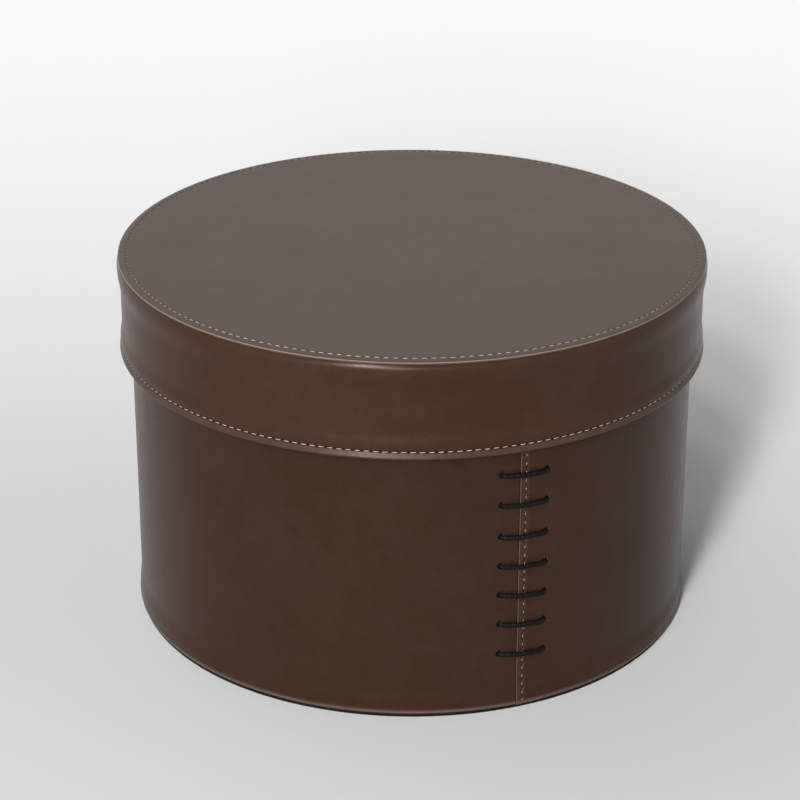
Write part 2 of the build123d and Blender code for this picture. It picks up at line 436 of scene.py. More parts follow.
def mixed(tree, share, first, second):
    """A colour between two."""
    first, second = (dye if isinstance(dye, bpy.types.NodeSocket) else (*dye, 1) for dye in (first, second))
    return node(tree, "ShaderNodeMix", {0: share, 6: first, 7: second}, data_type="RGBA").outputs[2]


def kept_on_points(tree, name):
    """A number that the mesh's points carry."""
    return node(tree, "ShaderNodeAttribute", attribute_name=name).outputs["Fac"]


def new_finish(name):
    """An empty material with its shader, its node tree and its object coordinates."""
    material = bpy.data.materials.new(name)
    material.use_nodes = True
    tree = material.node_tree
    tree.nodes.clear()
    shader = tree.nodes.new("ShaderNodeBsdfPrincipled")
    out = tree.nodes.new("ShaderNodeOutputMaterial")
    tree.links.new(shader.outputs["BSDF"], out.inputs["Surface"])
    place = tree.nodes.new("ShaderNodeTexCoord").outputs["Object"]
    return material, tree, shader, place


def cloudy(tree, place, size, detail, roughness):
    """Soft noise whose clouds are about that many metres wide."""
    return node(tree, "ShaderNodeTexNoise",
                {"Vector": place, "Scale": 1 / size, "Detail": detail, "Roughness": roughness}).outputs["Fac"]


def bumped(tree, height, distance, strength, under=None):
    """A bump in metres, over another if there is one."""
    inputs = {"Height": height, "Distance": distance, "Strength": strength}
    if under:
        inputs["Normal"] = under
    return node(tree, "ShaderNodeBump", inputs).outputs["Normal"]


def on_front(tree, split):
    """One on the half of the box that has the seam, from a place's parts."""
    return maths(tree, "LESS_THAN", split["Y"], 0)


def needle_hole_shade(tree, place, row):
    """Painted shade: nought on plain leather, one in the needle holes of the row of stitches named, and some on its
    channel.
    """
    stitching = bpy.context.scene.collar_box_stitching
    split = parts(tree, place)
    if row == "seam":
        low, high = SEAM_ROW
        pitch = (high - low) * MM / (stitching.seam_count - 1)
        along = plus(tree, maths(tree, "DIVIDE", minus(tree, split["Z"], low * MM), pitch), 0.5)
        across = split["X"]
        channel_share = 0.12
    else:
        radius, count = (
            (stitching.top_ring_radius, stitching.top_ring_count) if row == "top"
            else ((HEM_RADIUS - HEM_CHANNEL) * MM, stitching.hem_count))
        pitch = 2 * pi * radius / count
        along = times(tree, maths(tree, "ARCTAN2", split["Y"], split["X"]), count / (2 * pi))
        across = (minus(tree, size_of(tree, split["X"], split["Y"]), radius) if row == "top"
                  else minus(tree, split["Z"], stitching.hem_height))
        channel_share = 0.45
    past = times(tree, minus(tree, along, maths(tree, "ROUND", along)), pitch)
    hole = minus(tree, 1, smooth_step(tree, size_of(tree, past, across), 0.0002, 0.0006))
    channel = smooth_step(tree, maths(tree, "ABSOLUTE", across), 0.00045, 0.0002)
    hole = maths(tree, "MAXIMUM", hole, times(tree, channel, channel_share))
    return times(tree, hole, on_front(tree, split)) if row == "seam" else hole


def seam_strip(tree, place, left, faded, full):
    """One on an upright strip that far to the left of the front seam's stitches, fading out at its sides."""
    split = parts(tree, place)
    off = maths(tree, "ABSOLUTE", plus(tree, split["X"], left))
    return times(tree, smooth_step(tree, off, faded, full), on_front(tree, split))


def rubbed_seam(tree, place):
    """High on the specks of grain that handling has rubbed paler beside the front seam's stitches."""
    specks = smooth_step(tree, cloudy(tree, place, 0.0006, 2, 0.7), 0.52, 0.68)
    return times(tree, seam_strip(tree, place, 0.0004, 0.0021, 0.0008),
                 maths(tree, "MULTIPLY_ADD", specks, 0.42, 0.05))


def lap_step_shadow(tree, place):
    """High in the painted shadow line where the lap's cut edge meets the leather under it."""
    return times(tree, seam_strip(tree, place, (LAP_EDGE + LAP_SHADOW_LINE) * MM, 0.00034, 0.0001), 0.6)


def leather_finish(name, row):
    """Satin brown leather: mottling, a fine grain, needle holes painted dark as shade, paler edges that are partly cut
    edges and partly painted highlights, each piece painted lighter or darker for the light on it, and on the top a grey
    painted sheen, mottled like wear.
    """
    leather = bpy.context.scene.collar_box_leather
    material, tree, shader, place = new_finish(name)
    blotch = cloudy(tree, place, 0.045, 3, 0.55)
    mottle = cloudy(tree, place, 0.007, 4, 0.6)
    pebble = node(tree, "ShaderNodeTexVoronoi", {"Vector": place, "Scale": 1 / leather.grain_size},
                  feature="SMOOTH_F1").outputs["Distance"]
    creases = cloudy(tree, place, 0.0022, 3, 0.6)
    shade = plus(tree, times(tree, blotch, 0.6), times(tree, mottle, 0.4))
    # Each piece's leather is painted lighter or darker for the light that falls on it
    dark, pale = (tuple(part * LEATHER_PAINTED_LIGHT[row] for part in dye)
                  for dye in (leather.colour, leather.worn_colour))
    colour = mixed(tree, smooth_step(tree, shade, 0.32, 0.68), dark, pale)
    pits = smooth_step(tree, pebble, 0.25, 0.75)
    colour = mixed(tree, times(tree, pits, 0.16), colour, PIT_COLOUR)
    # Painted sheen on the lid's top: a grey veil for the reflection off it, partly mottled as wear
    if row == "top":
        sheen_and_wear = smooth_step(tree, cloudy(tree, place, 0.03, 4, 0.65), 0.3, 0.7)
        colour = mixed(tree, maths(tree, "MULTIPLY_ADD", sheen_and_wear, 0.1, 0.36), colour, SHEEN_AND_WEAR_COLOUR)
    # Edges painted paler: cut edges and wear in their own colour, and painted highlights where edges catch the light
    cut = kept_on_points(tree, "raw_edge_and_highlight")
    fibre = times(tree, cut, plus(tree, 0.55, times(tree, creases, 0.8)))
    colour = mixed(tree, maths(tree, "MINIMUM", fibre, 1), colour, tuple(leather.edge_colour))
    if row == "seam":
        colour = mixed(tree, rubbed_seam(tree, place), colour, RUBBED_COLOUR)
        # Painted shadow in the line beside the lap's cut edge
        colour = mixed(tree, lap_step_shadow(tree, place), colour, LAP_SHADOW_COLOUR)
    # Painted shade in the needle holes and along each row's channel
    hole = needle_hole_shade(tree, place, row)
    dulled, shine = (0.16, 0.3) if row == "top" else (0.0, 0.17)
    satin = plus(tree, leather.roughness + dulled - 0.06, times(tree, mottle, 0.12))
    satin = plus(tree, satin, times(tree, cut, 0.25))
    satin = minus(tree, satin, times(tree, kept_on_points(tree, "burnish"), 0.13))
    normal = bumped(tree, blotch, 0.0006, 0.25)
    normal = bumped(tree, creases, 0.00012, 0.3, normal)
    normal = bumped(tree, pits, 0.00004, 0.35, normal)
    fill(tree, shader, {
        "Base Color": mixed(tree, times(tree, hole, 0.85), colour, HOLE_SHADE_COLOUR), "Roughness": satin,
        "Specular IOR Level": shine, "Specular Tint": (1.0, 0.84, 0.74, 1.0),
        "Normal": bumped(tree, minus(tree, 1, hole), 0.0003, 0.8, normal)})
    return material


def thread_finish(name, dye, dulled=0.0):
    """Waxed thread of that colour, with its twist. Away from its lit side it is darkened by that share of painted
    shade.
    """
    material, tree, shader, place = new_finish(name)
    turns = plus(tree, times(tree, kept_on_points(tree, "thread_along"), 5.5), kept_on_points(tree, "thread_around"))
    strand = maths(tree, "ABSOLUTE", maths(tree, "SINE", times(tree, turns, 3 * pi)))
    soil = smooth_step(tree, cloudy(tree, place, 0.009, 3, 0.6), 0.35, 0.7)
    colour = mixed(tree, times(tree, soil, 0.6), tuple(dye), tuple(0.5 * part for part in dye))
    # Painted shade in the grooves between the thread's strands
    colour = mixed(tree, times(tree, minus(tree, 1, strand), 0.4), colour, tuple(0.35 * part for part in dye))
    # Painted shade: the thread is darkened away from its lit side
    if dulled:
        outward = vector_maths(tree, "NORMALIZE", vector_maths(tree, "MULTIPLY", place, (1, 1, 0))[0])[0]
        front = vector_maths(tree, "DOT_PRODUCT", outward, away(THREAD_LIT_SIDE, 0))["Value"]
        colour = mixed(tree, times(tree, smooth_step(tree, front, 0.9, 0.0), dulled), colour, THREAD_SHADE_COLOUR)
    fill(tree, shader, {"Base Color": colour, "Roughness": 0.33, "Specular IOR Level": 1.0,
                        "Normal": bumped(tree, strand, 0.00006, 0.5)})
    return material


def lace_finish():
    """Black waxed cord, braided round."""
    lace = bpy.context.scene.collar_box_lace
    material, tree, shader, place = new_finish("waxed_black_cord")
    across = node(tree, "ShaderNodeAttribute", attribute_name="cord_around").outputs["Vector"]
    split = parts(tree, across)
    run = times(tree, kept_on_points(tree, "cord_along"), 2 * pi / 0.0022)
    turns = times(tree, maths(tree, "ARCTAN2", split["Y"], split["X"]), 4)
    braid = maths(tree, "MAXIMUM", maths(tree, "SINE", plus(tree, run, turns)),
                  maths(tree, "SINE", minus(tree, run, turns)))
    wax = cloudy(tree, place, 0.002, 3, 0.6)
    fill(tree, shader, {
        "Base Color": mixed(tree, times(tree, wax, 0.5), tuple(lace.colour), WAX_COLOUR),
        "Roughness": plus(tree, 0.48, times(tree, wax, 0.25)), "Specular IOR Level": 0.12,
        "Normal": bumped(tree, braid, 0.00012, 0.8)})
    return material


def cloth_finish():
    """Plain woven cotton whose threads follow the piece's own map."""
    inside = bpy.context.scene.collar_box_inside
    material, tree, shader, place = new_finish("cotton_lining")
    flat = node(tree, "ShaderNodeUVMap", uv_map="cloth").outputs["UV"]
    split = parts(tree, flat)
    warp, weft = (maths(tree, "SINE", times(tree, split[axis], pi / inside.cloth_pitch)) for axis in "XY")
    turn = maths(tree, "GREATER_THAN", times(tree, warp, weft), 0)
    weave = node(tree, "ShaderNodeMix", {
        0: turn, 2: maths(tree, "ABSOLUTE", warp), 3: maths(tree, "ABSOLUTE", weft)}).outputs[0]
    stretched = node(tree, "ShaderNodeMapping", {"Vector": flat, "Scale": (900.0, 60.0, 1.0)}).outputs[0]
    slub = cloudy(tree, stretched, 1.0, 2.0, 0.5)
    age = cloudy(tree, place, 0.05, 3, 0.6)
    pale = tuple(inside.cloth_colour)
    colour = mixed(tree, times(tree, slub, 0.6), pale, tuple(0.72 * part for part in pale))
    colour = mixed(tree, times(tree, age, 0.3), colour, AGED_CLOTH_COLOUR)
    # Painted shade in the gaps between the woven threads
    colour = mixed(tree, times(tree, minus(tree, 1, weave), 0.35), colour, CLOTH_GAP_SHADE_COLOUR)
    fill(tree, shader, {"Base Color": colour, "Roughness": 0.9, "Specular IOR Level": 0.2, "Sheen Weight": 0.2,
                        "Normal": bumped(tree, weave, 0.00012, 0.7)})
    return material


def board_finish(name, colour):
    """Pressed board or card: flecks of fibre in a dull sheet."""
    material, tree, shader, place = new_finish(name)
    fleck = cloudy(tree, place, 0.0011, 4, 0.75)
    cloud = cloudy(tree, place, 0.02, 3, 0.5)
    pale = tuple(min(1, 1.15 * part) for part in colour)
    deep = tuple(0.7 * part for part in colour)
    paint = mixed(tree, smooth_step(tree, fleck, 0.35, 0.7), deep, pale)
    fill(tree, shader, {
        "Base Color": mixed(tree, times(tree, cloud, 0.25), paint, tuple(colour)), "Roughness": 0.88,
        "Specular IOR Level": 0.25, "Normal": bumped(tree, fleck, 0.0001, 0.5)})
    return material


def felt_finish():
    """Dense black felt."""
    material, tree, shader, place = new_finish("black_felt")
    fuzz = cloudy(tree, place, 0.0007, 4, 0.8)
    felt = tuple(bpy.context.scene.collar_box_inside.felt_colour)
    fill(tree, shader, {
        "Base Color": mixed(tree, smooth_step(tree, fuzz, 0.35, 0.75), felt, tuple(2.4 * part for part in felt)),
        "Roughness": 0.95, "Specular IOR Level": 0.15, "Normal": bumped(tree, fuzz, 0.0003, 0.8)})
    return material


def uneven(radius, turn, height):
    """Slow wander of a covered surface, in millimetres."""
    amount = bpy.context.scene.collar_box_leather.unevenness / MM
    spot = Vector(round_point(radius, turn, height))
    return amount * (noise.noise(spot * 28) + 0.6 * noise.noise(spot * 75 + Vector((4, 7, 1))))


def dent(depth, reach, far):
    """Depth of a soft dent at that distance from its middle."""
    return depth * exp(-(far / reach) ** 2)


def drawn_in(arc, height):
    """How far the lace and the seam's stitches draw the base's leather in."""
    if abs(arc) > LAP_WIDTH or not LACE_HEIGHTS[0][1] - LACED_MARGIN <= height <= LACE_HEIGHTS[-1][0] + LACED_MARGIN:
        pull = 0.0
    else:
        near = min(hypot(arc - hole_arc, height - hole_height) for hole_arc, hole_height in LACE_HOLES)
        pull = dent(0.15, 3.4, near) + dent(0.28, 0.6, max(0.0, near - LACE_HOLE_RADIUS))
    return pull + dent(0.1, 0.55, arc)


def strip_face(arc, height, radius):
    """Radius of the base strip's outer face where its even radius is the one given."""
    turn = arc / BASE_RADIUS + FRONT
    lap = between(LAP_PROFILE, arc + LAP_EDGE)
    return radius + lap - drawn_in(arc, height) + uneven(radius, turn, height)


def base_strip_columns():
    """Distances round the base from the seam's stitches, close together over the lap."""
    cut = [past - LAP_EDGE for past, _ in LAP_PROFILE[:-1]]
    cut += [-2.9, 1.2, LAP_WIDTH - LAP_EDGE]
    beside = [side * HOLE_ARC + step for side in (-1, 1) for step in PATCH_STEPS]
    row = filled([-1.55, -0.9, -0.45, -0.2, 0.0, 0.2, 0.45, 0.9], 0.5)
    near = filled(sorted({round(arc, 4) for arc in cut + beside + row + [-17.0, 17.0]}), 1.1)
    half_way = pi * BASE_RADIUS
    return filled([-half_way, *near, half_way], 5.0)[:-1]


def base_strip_heights():
    """Heights of the rows of points down the straight wall, close together beside the lace holes."""
    marks = {FOOT_EASE_TOP, RIM_TOP - RIM_OUTER_ROUND, HEM_BOTTOM}
    for left, right in LACE_HEIGHTS:
        marks |= {round((left + right) / 2 + step, 4) for step in PATCH_STEPS}
    return filled(sorted(marks, reverse=True), 2.6)


def base_strip_outline():
    """The strip's outline: radius, height, share of the lap's rise and how pale the edge is painted there, for cut
    edges, wear and painted highlights.
    """
    rim = rounded((TURN_IN_INNER + RIM_INNER_ROUND, RIM_TOP - RIM_INNER_ROUND), RIM_INNER_ROUND, 180, 90, 4)
    shoulder = rounded((BASE_RADIUS - RIM_OUTER_ROUND, RIM_TOP - RIM_OUTER_ROUND), RIM_OUTER_ROUND, 90, 0, 6)
    wall = [(BASE_RADIUS, height) for height in base_strip_heights()]
    ease = eased((BASE_RADIUS, FOOT_EASE_TOP), (FOOT_RADIUS, FLOOR_BOARD_TOP), 8)
    fold = rounded((FOOT_RADIUS + FOOT_FLARE - FOOT_ROUND, PAD_TOP + FOOT_ROUND), FOOT_ROUND, 20, -90, 8)
    outside = [
        *((point, 0, 1) for point in ((WALL_INNER, WALL_LINING_TOP), (TURN_IN_INNER + 0.12, WALL_LINING_TOP),
                                      (TURN_IN_INNER, WALL_LINING_TOP + 0.15))),
        *((point, 0, 0) for point in ((TURN_IN_INNER, WALL_LINING_TOP + 0.5), (TURN_IN_INNER, 146.0),
                                      (TURN_IN_INNER, 150.0))),
        *((point, 0, 0) for point in rim),
        ((117.2, RIM_TOP), 0.5, 0),
        *((point, 1, 0) for point in shoulder[:-1]),
        *((point, 1, 0) for point in wall[:-1]),
        *((point, 1, 0) for point in ease),
        ((FOOT_RADIUS - 0.05, PAD_TOP + FOOT_ROUND + 1.3), 1, 0),
        # The foot's fold is painted paler: partly wear, partly painted highlight
        *((point, 1, wear_and_highlight) for point, wear_and_highlight in zip(fold, (0.1, 0.2, 0.2, 0.12, 0.05, 0, 0, 0, 0))),
        ((116.0, PAD_TOP), 0, 0),
    ]
    inside = [
        *((point, 0, 1) for point in ((TURN_UNDER_INNER, PAD_TOP), (TURN_UNDER_INNER, FLOOR_BOARD_BOTTOM))),
        *((point, 0, 0) for point in ((FLOOR_BOARD_RADIUS, FLOOR_BOARD_BOTTOM),
                                      (FLOOR_BOARD_RADIUS, FLOOR_BOARD_TOP))),
        *(((WALL_OUTER, height), 0, 0) for height in reversed(base_strip_heights()[1:])),
        *((point, 0, 0) for point in ((WALL_OUTER, WALL_TOP), (WALL_INNER, WALL_TOP))),
    ]
    first_wall_row = len(outside) - 2 - len(fold) - len(ease) - (len(wall) - 1)
    return outside + inside, first_wall_row


def outer_face(arc, height):
    """Radius of the strip's outer face on the straight wall."""
    return strip_face(arc, height, BASE_RADIUS)


def inner_face(arc, height):
    """Radius of the strip's inner face on the straight wall."""
    return WALL_OUTER


def nearest(indices, values, wanted):
    """The index whose value is nearest to the one wanted."""
    return min(indices, key=lambda index: abs(values[index] - wanted))


def cut_patch(faces, rows, sides, levels, middle, width):
    """Takes the faces round a hole out of the strip's grid. Returns the points round the gap."""
    left, right = sides
    ends = sorted(nearest(rows, levels, middle + reach) for reach in (PATCH_REACH, -PATCH_REACH))
    for row in range(*ends):
        for column in range(left, right):
            here, below = row * width + column, (row + 1) * width + column
            faces.discard((here, here + 1, below + 1, below))
    # Both rims start at their highest row, and heights rise along the inner face's rows
    top, bottom = sorted(ends, key=lambda row: -levels[row])
    way = 1 if bottom > top else -1
    return [
        *(top * width + column for column in range(left, right)),
        *(row * width + right for row in range(top, bottom, way)),
        *(bottom * width + column for column in range(right, left, -1)),
        *(row * width + left for row in range(bottom, top, -way)),
    ]


def hole_collar(points, spots, rim, centre, face, spans):
    """Rings of points from a patch's edge in to a round hole. Returns the rings, the patch's edge first."""
    rings = [rim]
    for share, radius, sunk in spans:
        rings.append(range(len(points), len(points) + len(rim)))
        for arc, height in (spots[k] for k in rim):
            far = hypot(arc - centre[0], height - centre[1])
            at_hole = (centre[0] + radius * (arc - centre[0]) / far, centre[1] + radius * (height - centre[1]) / far)
            arc = arc + (at_hole[0] - arc) * share
            height = height + (at_hole[1] - height) * share
            points.append(round_point(face(arc, height) - sunk, arc / BASE_RADIUS + FRONT, height))
    return rings


def between_rings(rings):
    """Faces that join each ring of points to the next."""
    for outer, inner in zip(rings, rings[1:]):
        count = len(outer)
        for k in range(count):
            after = (k + 1) % count
            yield (outer[k], outer[after], inner[after], inner[k])


class COLLARBOX_OT_base_leather(Operator):
    """Covers the base in one strip of leather, lapped down the front and punched for the lace"""
    bl_idname = "collar_box.base_leather"
    bl_label = "Cover the base"

    def execute(self, context):
        columns = base_strip_columns()
        outline, first_wall_row = base_strip_outline()
        points, raw_and_highlight, spots = [], [], []
        for (radius, height), lap_share, edge in outline:
            for arc in columns:
                stray = strip_face(arc, height, radius) - radius if lap_share else 0.0
                spots.append((arc, height))
                points.append(round_point(radius + lap_share * stray, arc / BASE_RADIUS + FRONT, height))
                # The lap's cut edge is painted paler: partly its cut edge colour, partly painted highlight
                raw_and_highlight.append(max(edge, 0.4 if lap_share and abs(arc + LAP_EDGE) <= 0.03 else 0.0))
        faces = set(grid_faces(len(outline), len(columns), True, True))
        collars = list(self.punch(points, spots, faces, columns, outline, first_wall_row))
        raw_and_highlight += [0.0] * (len(points) - len(raw_and_highlight))
        strip = closed_piece("base_leather", points, [*sorted(faces), *collars],
                             leather_finish("brown_leather_base", "seam"), {"raw_edge_and_highlight": raw_and_highlight}, crease=50)
        dressed(strip, "base", "leather", "wall_leather")
        return {"FINISHED"}

    def punch(self, points, spots, faces, columns, outline, first_wall_row):
        """Opens the lace holes in the grid. Yields the faces that line them."""
        width = len(columns)
        levels = [height for (_, height), _, _ in outline]
        outer_rows = range(first_wall_row, first_wall_row + len(base_strip_heights()) - 1)
        inner_rows = [row for row, ((radius, _), _, _) in enumerate(outline)
                      if abs(radius - WALL_OUTER) < 0.01 and row > outer_rows.stop]
        for number, centre in enumerate(LACE_HOLES):
            middle = sum(LACE_HEIGHTS[number // 2]) / 2
            sides = [nearest(range(width), columns, centre[0] + reach) for reach in (-PATCH_REACH, PATCH_REACH)]
            collars = []
            for rows, face, spans in ((outer_rows, outer_face, HOLE_OUTSIDE), (inner_rows, inner_face, HOLE_INSIDE)):
                rim = cut_patch(faces, rows, sides, levels, middle, width)
                collars.append(hole_collar(points, spots, rim, centre, face, spans))
            outer, inner = collars
            yield from (*between_rings(outer), *between_rings(inner), *between_rings([outer[-1], inner[-1]]))


def pucker(turn, height, count):
    """How far a row of stitches draws the hem in, most at its needle holes."""
    row = bpy.context.scene.collar_box_stitching.hem_height / MM
    beat = 0.5 + 0.5 * cos(turn * count)
    return dent(0.1 + 0.08 * beat, 0.8, height - row)


def band_columns(count):
    """Directions round the band from its joint, four for each stitch, and how far the leather is sunk at each."""
    gap = BAND_JOINT_GAP / 2 / BAND_RADIUS
    step = 2 * pi / (4 * count)
    first = ceil((BACK + gap) / step + 1)
    last = int((2.5 * pi - gap) / step - 1)
    edges = ((gap, 0.16), (gap + 0.0012, 0.06), (gap + 0.004, 0.0))
    turns = [(k * step, 0.0) for k in range(first, last + 1)]
    for past, sunk in edges:
        turns += [(BACK + past, sunk), (2.5 * pi - past, sunk)]
    return sorted(turns)


def band_outline(hem_row):
    """The band's outline, down outside, round the hem and up inside, and how smooth its shoulder is rubbed."""
    shoulder = [(LID_RADIUS - SHOULDER_INSET * (1 - across), FLANGE_TOP - SHOULDER_DROP * (1 - up))
                for across, up in rounded((0, 0), 1, 90, 0, 10)]
    lip = HEM_BOTTOM + 1.7
    polish = dict(zip(shoulder, SHOULDER_POLISH))
    return [
        (FLANGE_INNER, FLANGE_TOP), (118.0, FLANGE_TOP), *shoulder,
        *eased((LID_RADIUS, LID_BOARD_BOTTOM), (BAND_RADIUS, WAIST_TOP), 8),
        *[(BAND_RADIUS, WAIST_TOP + (HEM_HIGH + HEM_EASE - WAIST_TOP) * k / 5) for k in range(1, 5)],
        *eased((BAND_RADIUS, HEM_HIGH + HEM_EASE), (HEM_RADIUS, HEM_HIGH), 6),
        (HEM_RADIUS - 0.08, hem_row + 1.5), (HEM_RADIUS - 0.2, hem_row + 0.9), (HEM_RADIUS - 0.32, hem_row + 0.4),
        (HEM_RADIUS - HEM_CHANNEL, hem_row), (HEM_RADIUS - 0.26, hem_row - 0.4), (HEM_RADIUS - 0.05, hem_row - 0.9),
        (HEM_RADIUS + 0.17, lip), (HEM_RADIUS + 0.38, lip - 0.5),
        *rounded((HEM_RADIUS + HEM_LIP - HEM_LIP_ROUND, HEM_BOTTOM + HEM_LIP_ROUND), HEM_LIP_ROUND, 15, -90, 8),
        (122.6, HEM_BOTTOM), *rounded((LID_LINING_INNER + 0.4, HEM_BOTTOM + 0.4), 0.4, -90, -180, 3),
        (LID_LINING_INNER, hem_row - 0.5), (LID_LINING_INNER, hem_row), (LID_LINING_INNER, hem_row + 0.5),
        (LID_LINING_INNER, HEM_TURN_IN_TOP - 0.2), (LID_LINING_INNER + 0.08, HEM_TURN_IN_TOP),
        (BAND_INNER, HEM_TURN_IN_TOP), (BAND_INNER, HEM_BOTTOM + LEATHER), (BAND_OUTER, HEM_BOTTOM + LEATHER),
        (BAND_OUTER, WAIST_TOP), (LID_BOARD_RADIUS, LID_BOARD_BOTTOM), (LID_BOARD_RADIUS, LID_BOARD_TOP),
        (FLANGE_INNER, LID_BOARD_TOP),
    ], polish


class COLLARBOX_OT_lid_leather(Operator):
    """Covers the lid: a band turned over the board and folded in at the hem, and a disc sewn on top"""
    bl_idname = "collar_box.lid_leather"
    bl_label = "Cover the lid"

    def execute(self, context):
        stitching = context.scene.collar_box_stitching
        self.cover_band(stitching)
        self.cover_top(stitching)
        return {"FINISHED"}

    def cover_band(self, stitching):
        hem_row = stitching.hem_height / MM
        outline, polish = band_outline(hem_row)
        last_outer = outline.index((122.6, HEM_BOTTOM))
        raw_rows = {outline.index((LID_LINING_INNER + 0.08, HEM_TURN_IN_TOP)),
                    outline.index((BAND_INNER, HEM_TURN_IN_TOP))}
        count = stitching.hem_count
        turns = band_columns(count)
        points, raw_and_highlight, burnish = [], [], []
        for row, (radius, height) in enumerate(outline):
            burnish += [polish.get((radius, height), 0.0)] * len(turns)
            for column, (turn, sunk) in enumerate(turns):
                shown = radius
                if row < last_outer and height < HEM_HIGH + 1:
                    shown -= pucker(turn, height, count)
                if 1 < row < last_outer:
                    shown += uneven(radius, turn, height) - sunk
                points.append(round_point(shown, turn, height))
                # The hem's lip is painted a little paler: partly wear, partly painted highlight
                wear_and_highlight = 0.045 if row < last_outer and HEM_BOTTOM + 0.4 < height < hem_row - 0.5 else 0.0
                raw_and_highlight.append(1.0 if row in raw_rows else 0.3 if column in (0, len(turns) - 1) else wear_and_highlight)
        width = len(turns)
        faces = list(grid_faces(len(outline), width, True, False))
        faces.append([row * width for row in range(len(outline))])
        faces.append([row * width + width - 1 for row in range(len(outline))])
        band = closed_piece("lid_band", points, faces, leather_finish("brown_leather_band", "hem"),
                            {"raw_edge_and_highlight": raw_and_highlight, "burnish": burnish}, crease=50)
        dressed(band, "lid", "leather", "lid_band_leather")

    def cover_top(self, stitching):
        count = stitching.top_ring_count
        width = 4 * count
        row = stitching.top_ring_radius / MM
        fall = TOP_EDGE_FALL
        edge = rounded((TOP_LEATHER_RADIUS - TOP_EDGE_ROUND, BOX_TOP - fall - TOP_EDGE_ROUND), TOP_EDGE_ROUND, 76, 0, 4)
        outline = [
            *((radius, BOX_TOP, 0) for radius in (110.0, 116.0, row - 1.4, row - 0.8, row - 0.4, row, row + 0.4)),
            (row + 0.8, BOX_TOP - 0.01, 0), (row + 1.4, BOX_TOP - 0.06, 0), (row + 2.0, BOX_TOP - 0.15, 0),
            (row + 2.6, BOX_TOP - 0.27, 0),
            # The top's rounded edge is painted paler, most at its corner: partly cut edge colour, partly painted
            # highlight
            *((radius, height, share) for (radius, height), share in zip(edge, (0.0, 0.2, 0.75, 0.5, 0.05))),
            (TOP_LEATHER_RADIUS, FLANGE_TOP - fall + 0.1, 0), (TOP_LEATHER_RADIUS - 0.08, FLANGE_TOP - fall, 0),
            (row + 2.0, FLANGE_TOP - 0.04, 0), (116.0, FLANGE_TOP, 0), (110.0, FLANGE_TOP, 0),
        ]
        points, raw_and_highlight = [], []
        for radius, height, edge_share in outline:
            for k in range(width):
                turn = 2 * pi * k / width
                beat = 0.5 + 0.5 * cos(turn * count)
                upper = height > FLANGE_TOP + 0.4
                sunk = dent(0.09 + 0.1 * beat, 0.7, radius - row) if upper else 0
                wave = 0.5 * uneven(radius, turn, height) if upper else 0
                shown = radius + (0.05 * (noise.noise(Vector((cos(turn), sin(turn), 0.3)) * 60)) if edge_share else 0)
                points.append(round_point(shown, turn, height - sunk + min(0, wave)))
                raw_and_highlight.append(edge_share)
        rows = len(outline)
        faces = list(grid_faces(rows, width, False, True))
        for start_row, height in ((0, BOX_TOP), (rows - 1, FLANGE_TOP)):
            self.close_disc(points, raw_and_highlight, faces, [start_row * width + k for k in range(width)], height)
        disc = closed_piece("lid_top_disc", points, faces, leather_finish("brown_leather_top", "top"),
                            {"raw_edge_and_highlight": raw_and_highlight}, crease=50)
        dressed(disc, "lid", "leather", "lid_top_leather")

    def close_disc(self, points, raw_and_highlight, faces, ring, height):
        """Rings of fewer and fewer points from the edge of a flat face to its middle."""
        for radius in (98.0, 78.0, 52.0, 24.0):
            half = len(ring) // 2
            inner = [len(points) + k for k in range(half)]
            for k in range(half):
                points.append(round_point(radius, 2 * pi * k / half, height))
                raw_and_highlight.append(0.0)
            for k in range(half):
                here, mid, after = ring[2 * k], ring[2 * k + 1], ring[(2 * k + 2) % len(ring)]
                low, high = inner[k], inner[(k + 1) % half]
                faces += [(here, mid, low), (mid, high, low), (mid, after, high)]
            ring = inner
        close_ring(points, faces, ring, height)
        raw_and_highlight.append(0.0)


def add_input(tree, label, kind, default=None):
    """A named input of a node tree."""
    made = tree.interface.new_socket(name=label, in_out="INPUT", socket_type=kind)
    if default is not None:
        made.default_value = default
    return made


# What each stitch's node tree takes, with its default
STITCH_SIZES = (("Length", 0.003), ("Thread width", 0.0005), ("Rise", 0.0001), ("Drop", 0.0006), ("Lean", 0.05))


def stored(tree, geometry, name, value):
    """The geometry with a number kept on its points."""
    return node(tree, "GeometryNodeStoreNamedAttribute", {"Geometry": geometry, "Name": name, "Value": value},
                data_type="FLOAT", domain="POINT").outputs[0]


def random_value(tree, low, high, seed):
    """A different number for each point or stitch."""
    return node(tree, "FunctionNodeRandomValue", {2: low, 3: high, "Seed": seed}, data_type="FLOAT").outputs[1]


